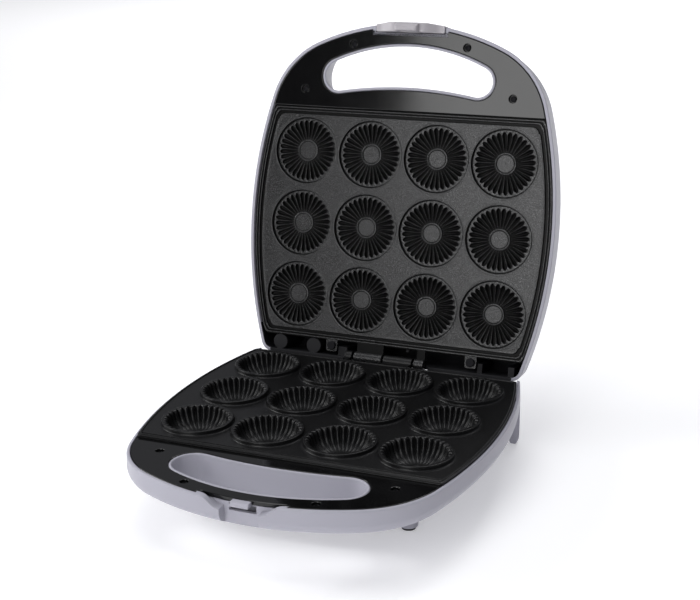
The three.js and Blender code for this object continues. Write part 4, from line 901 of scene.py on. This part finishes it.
def rosette_mesh(x, y):
    """One fluted rosette in its round recess; the grooves go up, away from the face, between flat ribs."""
    rib = 0.055
    steps = (rib, 0.12, 0.23, 0.4, 0.6, 0.77, 0.88, 1 - rib)
    count = FLUTES * len(steps)
    angle = np.array([(k + step) * TAU / FLUTES for k in range(FLUTES) for step in steps])
    across = np.array([(step - rib) / (1 - 2 * rib) for step in steps] * FLUTES)
    valley = np.abs(np.sin(math.pi * across)) ** 0.6
    unit = np.stack([np.cos(angle), np.sin(angle)], 1)
    disc, back = RECESS_FLOOR + 1.35, LID_FACE + 5.7
    wall = [(26.4, LID_FACE + 0.03), (25.2, LID_FACE - 0.02), (25.02, LID_FACE + 0.1),
            (24.95, LID_FACE + 0.5), (24.93, RECESS_FLOOR + 0.5), (24.35, RECESS_FLOOR + 0.5),
            (24.28, RECESS_FLOOR + 0.1), (24.1, RECESS_FLOOR), (23.4, RECESS_FLOOR)]
    rings = [(unit * radius, height) for radius, height in wall]
    plain = len(rings)
    for reach, part in [(0.02, 0.05), (0.3, 0.45), (0.7, 0.8), (1.3, 1.0)]:
        tip = 20.5 + 2.5 * valley ** 1.3 - reach
        rings.append((unit * tip[:, None], RECESS_FLOOR + part * (0.35 + 1.9 * valley)))
    for radius, crest, relief in [(18.6, 0.75, 2.0), (16.5, 1.0, 1.9), (14.0, 1.25, 1.6), (12.0, 1.45, 1.2),
                                  (10.4, 1.6, 0.8), (9.2, 1.75, 0.5), (8.5, 1.95, 0.25)]:
        rings.append((unit * radius, RECESS_FLOOR + crest + relief * valley))
    rings += [(unit * 8.25, RECESS_FLOOR + 2.0), (unit * 8.05, RECESS_FLOOR + 1.5)]
    fluted = len(rings)
    rings += [(unit * 7.8, disc), (unit * 7.05, disc)]
    scalloped = len(rings)
    scallop = unit * (6.72 + 0.3 * np.abs(np.sin(FLUTES / 2 * angle)))[:, None]
    rings += [(scallop, disc + 0.4), (scallop * 0.94, disc + 0.4), (scallop * 0.91, disc)]
    closing = [(CENTRE_R, disc), (CENTRE_R, back), (25.2, back), (26.4, back - 0.6), (26.4, LID_FACE + 1.0)]
    rings += [(unit * radius, height) for radius, height in closing]
    obj = loft("rosette", rings, closed=True)
    # Painted shade: the recess's step, the flutes, their inner ends and the scalloped edge take the darker
    # coating; only the rib crests keep the plate's coating
    ribs = (len(steps) - 1,)
    painted_shade_bands = [(3, 6, ()), (plain, fluted - 3, ribs), (fluted - 3, fluted - 1, ()),
                  (scalloped - 1, scalloped + 1, ())]
    for first, last, light in painted_shade_bands:
        for k, face in enumerate(obj.data.polygons[first * count: last * count]):
            face.material_index = 0 if k % len(steps) in light else 1
    obj.data.flip_normals()
    return moved(obj, x, y)


def knuckle(index, pin_z):
    """One of the knuckles on the hinge pin, a little longer than its share."""
    before = sum(KNUCKLE_LENGTHS[:index]) + KNUCKLE_GAP * index
    x0 = KNUCKLES_START + before - KNUCKLE_EXTRA
    x1 = x0 + KNUCKLE_LENGTHS[index] + 2 * KNUCKLE_EXTRA
    flat, bend = KNUCKLE_R - KNUCKLE_EDGE, 0.18
    profile = [(KNUCKLE_BORE, x0), (flat, x0), (KNUCKLE_R - bend, x0 + bend), (KNUCKLE_R, x0 + KNUCKLE_EDGE),
               (KNUCKLE_R, x1 - KNUCKLE_EDGE), (KNUCKLE_R - bend, x1 - bend), (flat, x1), (KNUCKLE_BORE, x1)]
    obj = loft("knuckle", [(circle(radius, 40), along) for radius, along in profile], closed=True)
    obj.data.transform(Matrix.Rotation(RIGHT_ANGLE, 4, "Y"))
    return moved(obj, 0, HINGE_Y, pin_z)


def web(index, top):
    """The strip from a plate's rear edge to its knuckle."""
    before = sum(KNUCKLE_LENGTHS[:index]) + KNUCKLE_GAP * index
    x0 = KNUCKLES_START + before
    strip = block("web", x0, x0 + KNUCKLE_LENGTHS[index], PLATE_REAR - 1, HINGE_Y - 1, top - 2, top)
    return soften(strip, width=0.3, segments=2)


def base_plate():
    edge = [(0.15, -0.15), (0.5, 0.0), (1.3, 0.0), (1.45, 0.5), (1.6, 0.6), (2.1, 0.6), (2.25, 0.5),
            (2.4, 0.0), (4.0, 0.0)]
    slab = plate_slab("base_grid", BACK_Z, FACE_Z, edge)
    holes = [prism("hole", circle(CUP_HOLE_R, 64, cup), BACK_Z - 2, FACE_Z + 3) for cup in CUPS]
    slab = cut(slab, *holes)
    rib_y = PLATE_FRONT + FRONT_RIB_INSET
    rib = block("rib", -FRONT_RIB_HALF, FRONT_RIB_HALF, rib_y, rib_y + 0.9, FACE_Z - 0.5, FACE_Z + 0.6)
    rib = meet(rib, prism("within", clipped(1.5), FACE_Z - 1, FACE_Z + 1))
    parts = [slab, *[cup_mesh(x, y) for x, y in CUPS], soften(rib, width=0.18, segments=2)]
    for index in (0, 2):
        parts += [knuckle(index, HINGE_Z), web(index, FACE_Z)]
    piece(joined("base_grid", parts), BASE_PLACE, "base", [base_coating], ["base_baking_plate"],
          38)


def lid_lug(x):
    shape = rounded_box(x - LUG_HALF, x + LUG_HALF, PLATE_REAR - 1, PLATE_REAR + LUG_REACH, LUG_CORNER_R)
    lug = cut(prism("lug", shape, LID_FACE, LID_FACE + LUG_THICKNESS),
              prism("hole", circle(LUG_HOLE_R, 32, (x, LUG_Y)), LID_FACE - 1, LID_FACE + 4))
    return soften(lug, width=0.3, segments=2)


def lid_plate():
    outer_ridge = [(0.65, 0.3), (0.75, 0.5), (1.2, 0.55), (1.6, 0.45), (1.75, 0.0)]
    outer_groove = [(1.85, -1.0), (2.55, -1.0)]
    inner_ridge = [(2.65, 0.0), (2.8, 0.4), (3.1, 0.5), (3.5, 0.4), (3.65, 0.0)]
    inner_groove = [(3.75, -1.4), (5.6, -1.4)]
    face = [(5.75, -0.2), (5.9, 0.08), (6.3, 0.1), (6.7, 0.0), (8.0, 0.0)]
    edge = outer_ridge + outer_groove + inner_ridge + inner_groove + face
    slab = plate_slab("lid_grid", LID_BACK, LID_FACE, edge, corners=(2.0, 6.0), foot=-0.4)
    holes = [prism("hole", circle(ROSETTE_HOLE_R, 64, cup), LID_FACE - 2, LID_BACK + 2) for cup in CUPS]
    slab = cut(slab, *holes)
    # Painted shade: the faces between the plate's face and its back, the grooves round its edge among them,
    # take the darker coating
    marked(slab, lambda middle, normal: LID_FACE + 0.05 < middle.z < LID_BACK - 0.05)
    parts = [slab, *[rosette_mesh(x, y) for x, y in CUPS]]
    # The lid's webs take the darker coating too, a painted shadow between the knuckles and the plate's edge
    for index in (1, 3):
        parts += [knuckle(index, 0), marked(web(index, LID_WEB_TOP))]
    parts += [lid_lug(x) for x in LUG_XS]
    piece(joined("lid_grid", parts), LID_PLACE, "lid", [lid_coating, painted_shade_coating], ["lid_baking_plate"],
          38)


# The latch
def latch_round(name, radius):
    pivot_y = FRONT_Y + LATCH_PIVOT_INSET
    profile = [(radius, -LATCH_REACH), (radius, LATCH_REACH)]
    return moved(turned(name, profile, 64, "X"), 0, pivot_y, LATCH_PIVOT_RISE)


def latch():
    """A bar with wings and a hook, round over its pivot, with a round chin and a scoop for the finger."""
    pivot_y, outer_y = FRONT_Y + LATCH_PIVOT_INSET, FRONT_Y - LATCH_PROUD
    before = outer_y - OVERRUN
    wings = wing_line(LATCH_HALF, WING_TOP, HOOK_HALF, WING_FOOT)
    tip = [(HOOK_HALF, -10.5), (8.3, -11.4), (7.1, -HOOK_DROP)]
    right = np.concatenate([[(LATCH_HALF, LATCH_TOP)], wings, tip])
    whole = np.concatenate([right, mirrored(right)])
    body = front_prism("latch_bar", whole, before, pivot_y + LATCH_BARREL_R)
    body = meet(body, prism("curve", outline(-LATCH_PROUD), LATCH_LOW, LATCH_HIGH))
    below = block("below", -LATCH_REACH, LATCH_REACH, before, pivot_y + LATCH_BACK,
                  LATCH_LOW, LATCH_PIVOT_RISE)
    crown = meet(latch_round("crown", LATCH_CROWN_R),
                 block("in_front", -LATCH_REACH, LATCH_REACH, before, pivot_y, LATCH_LOW, LATCH_HIGH))
    body = meet(body, add(below, crown, latch_round("barrel", LATCH_BARREL_R)))
    clear = LATCH_REACH + OVERRUN
    chin = [(before - OVERRUN, clear), (before - OVERRUN, -clear)]
    for t in np.linspace(RIGHT_ANGLE, 0, 17):
        chin.append((outer_y + CHIN_REACH * (1 - math.cos(t)), CHIN_TOP - CHIN_DROP * math.sin(t)))
    chin.append((outer_y, clear))
    ball = [(circle(math.sin(t), 48), -math.cos(t)) for t in np.linspace(0.02, math.pi - 0.02, 25)]
    scoop = loft("scoop", ball)
    scoop.data.transform(Matrix.Diagonal((SCOOP_HALF, SCOOP_R, SCOOP_R, 1)))
    moved(scoop, 0, outer_y + SCOOP_INSET, SCOOP_Z)
    body = cut(
        body,
        prism("within_recess", outline(HOOK_REACH), LATCH_LOW - OVERRUN, 0.1),
        block("ledge_room", -LEDGE_ROOM_HALF, LEDGE_ROOM_HALF, FRONT_Y + 1.0, FRONT_Y + 12,
              LEDGE_ROOM_LOW, LEDGE_ROOM_HIGH),
        side_prism("chin", chin, -clear, clear),
        scoop,
    )
    piece(rounded(body, 0.4), LID_PLACE, "latch", [latch_grey], ["latch"], 60)


base_housing()
lid_housing()
base_cover()
lid_cover()
base_plate()
lid_plate()
latch()
for i, (x, y) in enumerate(SCREWS, 1):
    cover_screw(f"base_trim_screw_{i}", x, y, RIM_Z, -1, BASE_PLACE, "base", f"base_cover_screw_{i}")
    cover_screw(f"lid_trim_screw_{i}", x, y, LID_COVER_RISE, 1, LID_PLACE, "lid", f"lid_cover_screw_{i}")

# Finishes of the CAD's own pieces
finishes = {
    "base_heating_element": element_steel, "lid_heating_element": element_steel,
    "base_heat_shield": sheet_steel, "lid_heat_shield": sheet_steel,
    "base_thermostat": ceramic, "lid_thermostat": ceramic,
    "foot_pad_left": rubber, "foot_pad_right": rubber, "cord_gland": rubber,
    "hinge_pin": dark_screw, "latch_pin": bright_steel,
    "power_lens": amber, "ready_lens": green,
    "lid_lug_screw_1": dark_screw, "lid_lug_screw_2": dark_screw,
}
for name, material in finishes.items():
    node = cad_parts[name]
    node.data.materials.clear()
    node.data.materials.append(material)

# A pale floor, in metres like all that follows
FLOOR_REACH = 60
scene = bpy.context.scene
floor = raw("floor", [(-FLOOR_REACH, -FLOOR_REACH, 0), (FLOOR_REACH, -FLOOR_REACH, 0),
                      (FLOOR_REACH, FLOOR_REACH, 0), (-FLOOR_REACH, FLOOR_REACH, 0)], [(0, 1, 2, 3)])
material, nodes, links, bsdf = shader("pale_floor")
bsdf.inputs["Base Color"].default_value = (0.87, 0.87, 0.88, 1)
bsdf.inputs["Roughness"].default_value = 0.8
bsdf.inputs["Emission Color"].default_value = (1, 1, 1, 1)
bsdf.inputs["Emission Strength"].default_value = 0.3
floor.data.materials.append(material)

# A studio sky that is brighter overhead and behind the object
world = bpy.data.worlds.new("studio")
scene.world = world
world.use_nodes = True
sky, sky_links = world.node_tree.nodes, world.node_tree.links
around = sky.new("ShaderNodeTexCoord")
axes = sky.new("ShaderNodeSeparateXYZ")
sky_links.new(around.outputs["Generated"], axes.inputs["Vector"])
above = spread(sky, sky_links, axes.outputs["Z"], low=0.04, high=0.5, start=0.3, end=0.95)
behind = spread(sky, sky_links, axes.outputs["Y"], low=0.0, high=0.12, start=0.0, end=0.9)
both = sky.new("ShaderNodeMath")
sky_links.new(above, both.inputs[0])
sky_links.new(behind, both.inputs[1])
sky_links.new(both.outputs["Value"], sky["Background"].inputs["Strength"])
sky["Background"].inputs["Color"].default_value = (0.93, 0.94, 1.0, 1)
scene.view_settings.view_transform = "Standard"


def softbox(name, place, target, size, watts):
    light = bpy.data.lights.new(name, "AREA")
    light.shape = "RECTANGLE"
    light.size, light.size_y = size
    light.energy = watts
    lamp = bpy.data.objects.new(name, light)
    scene.collection.objects.link(lamp)
    lamp.location = place
    lamp.rotation_euler = (Vector(target) - Vector(place)).to_track_quat("-Z", "Y").to_euler()


softbox("key", (-0.18, -1.5, 0.7), (0, 0.05, 0.14), (0.8, 1.1), 10.5)
softbox("left", (-1.5, -0.35, 0.8), (0, 0, 0.1), (0.8, 0.8), 13)
softbox("top", (-0.1, 0.1, 1.7), (0, 0, 0), (1.2, 1.0), 7)
softbox("rim", (1.3, 0.9, 0.9), (0, 0.1, 0.15), (0.6, 0.6), 0.3)
softbox("back", (0, 2.2, 1.6), (0, 3.5, 0), (3.0, 1.0), 45)
softbox("behind", (0.1, 1.3, 1.75), (0, 0.1, 0.15), (0.7, 0.6), 8)

# The camera, fitted to the photograph: an azimuth about Z, an elevation and a slight roll
AZIMUTH, ELEVATION, ROLL = math.radians(22.488), math.radians(18.2375), math.radians(-1.0339)
CAMERA_PLACE = (0.34455, -0.80407 + SHIFT_Y * MM, 0.41723)
turn = Matrix.Rotation(-AZIMUTH, 3, "Z")
tilt = Matrix.Rotation(ELEVATION, 3, "X")
lean = Matrix.Rotation(ROLL, 3, "Z")
look_along_y = Matrix(((1, 0, 0), (0, 0, -1), (0, 1, 0)))
to_view = Matrix.Diagonal((1, -1, -1)) @ lean @ tilt @ look_along_y @ turn
camera_data = bpy.data.cameras.new("camera")
camera_data.sensor_width = 36
camera_data.lens = 70.595
camera = bpy.data.objects.new("camera", camera_data)
scene.collection.objects.link(camera)
camera.matrix_world = Matrix.Translation(CAMERA_PLACE) @ to_view.transposed().to_4x4()
scene.camera = camera
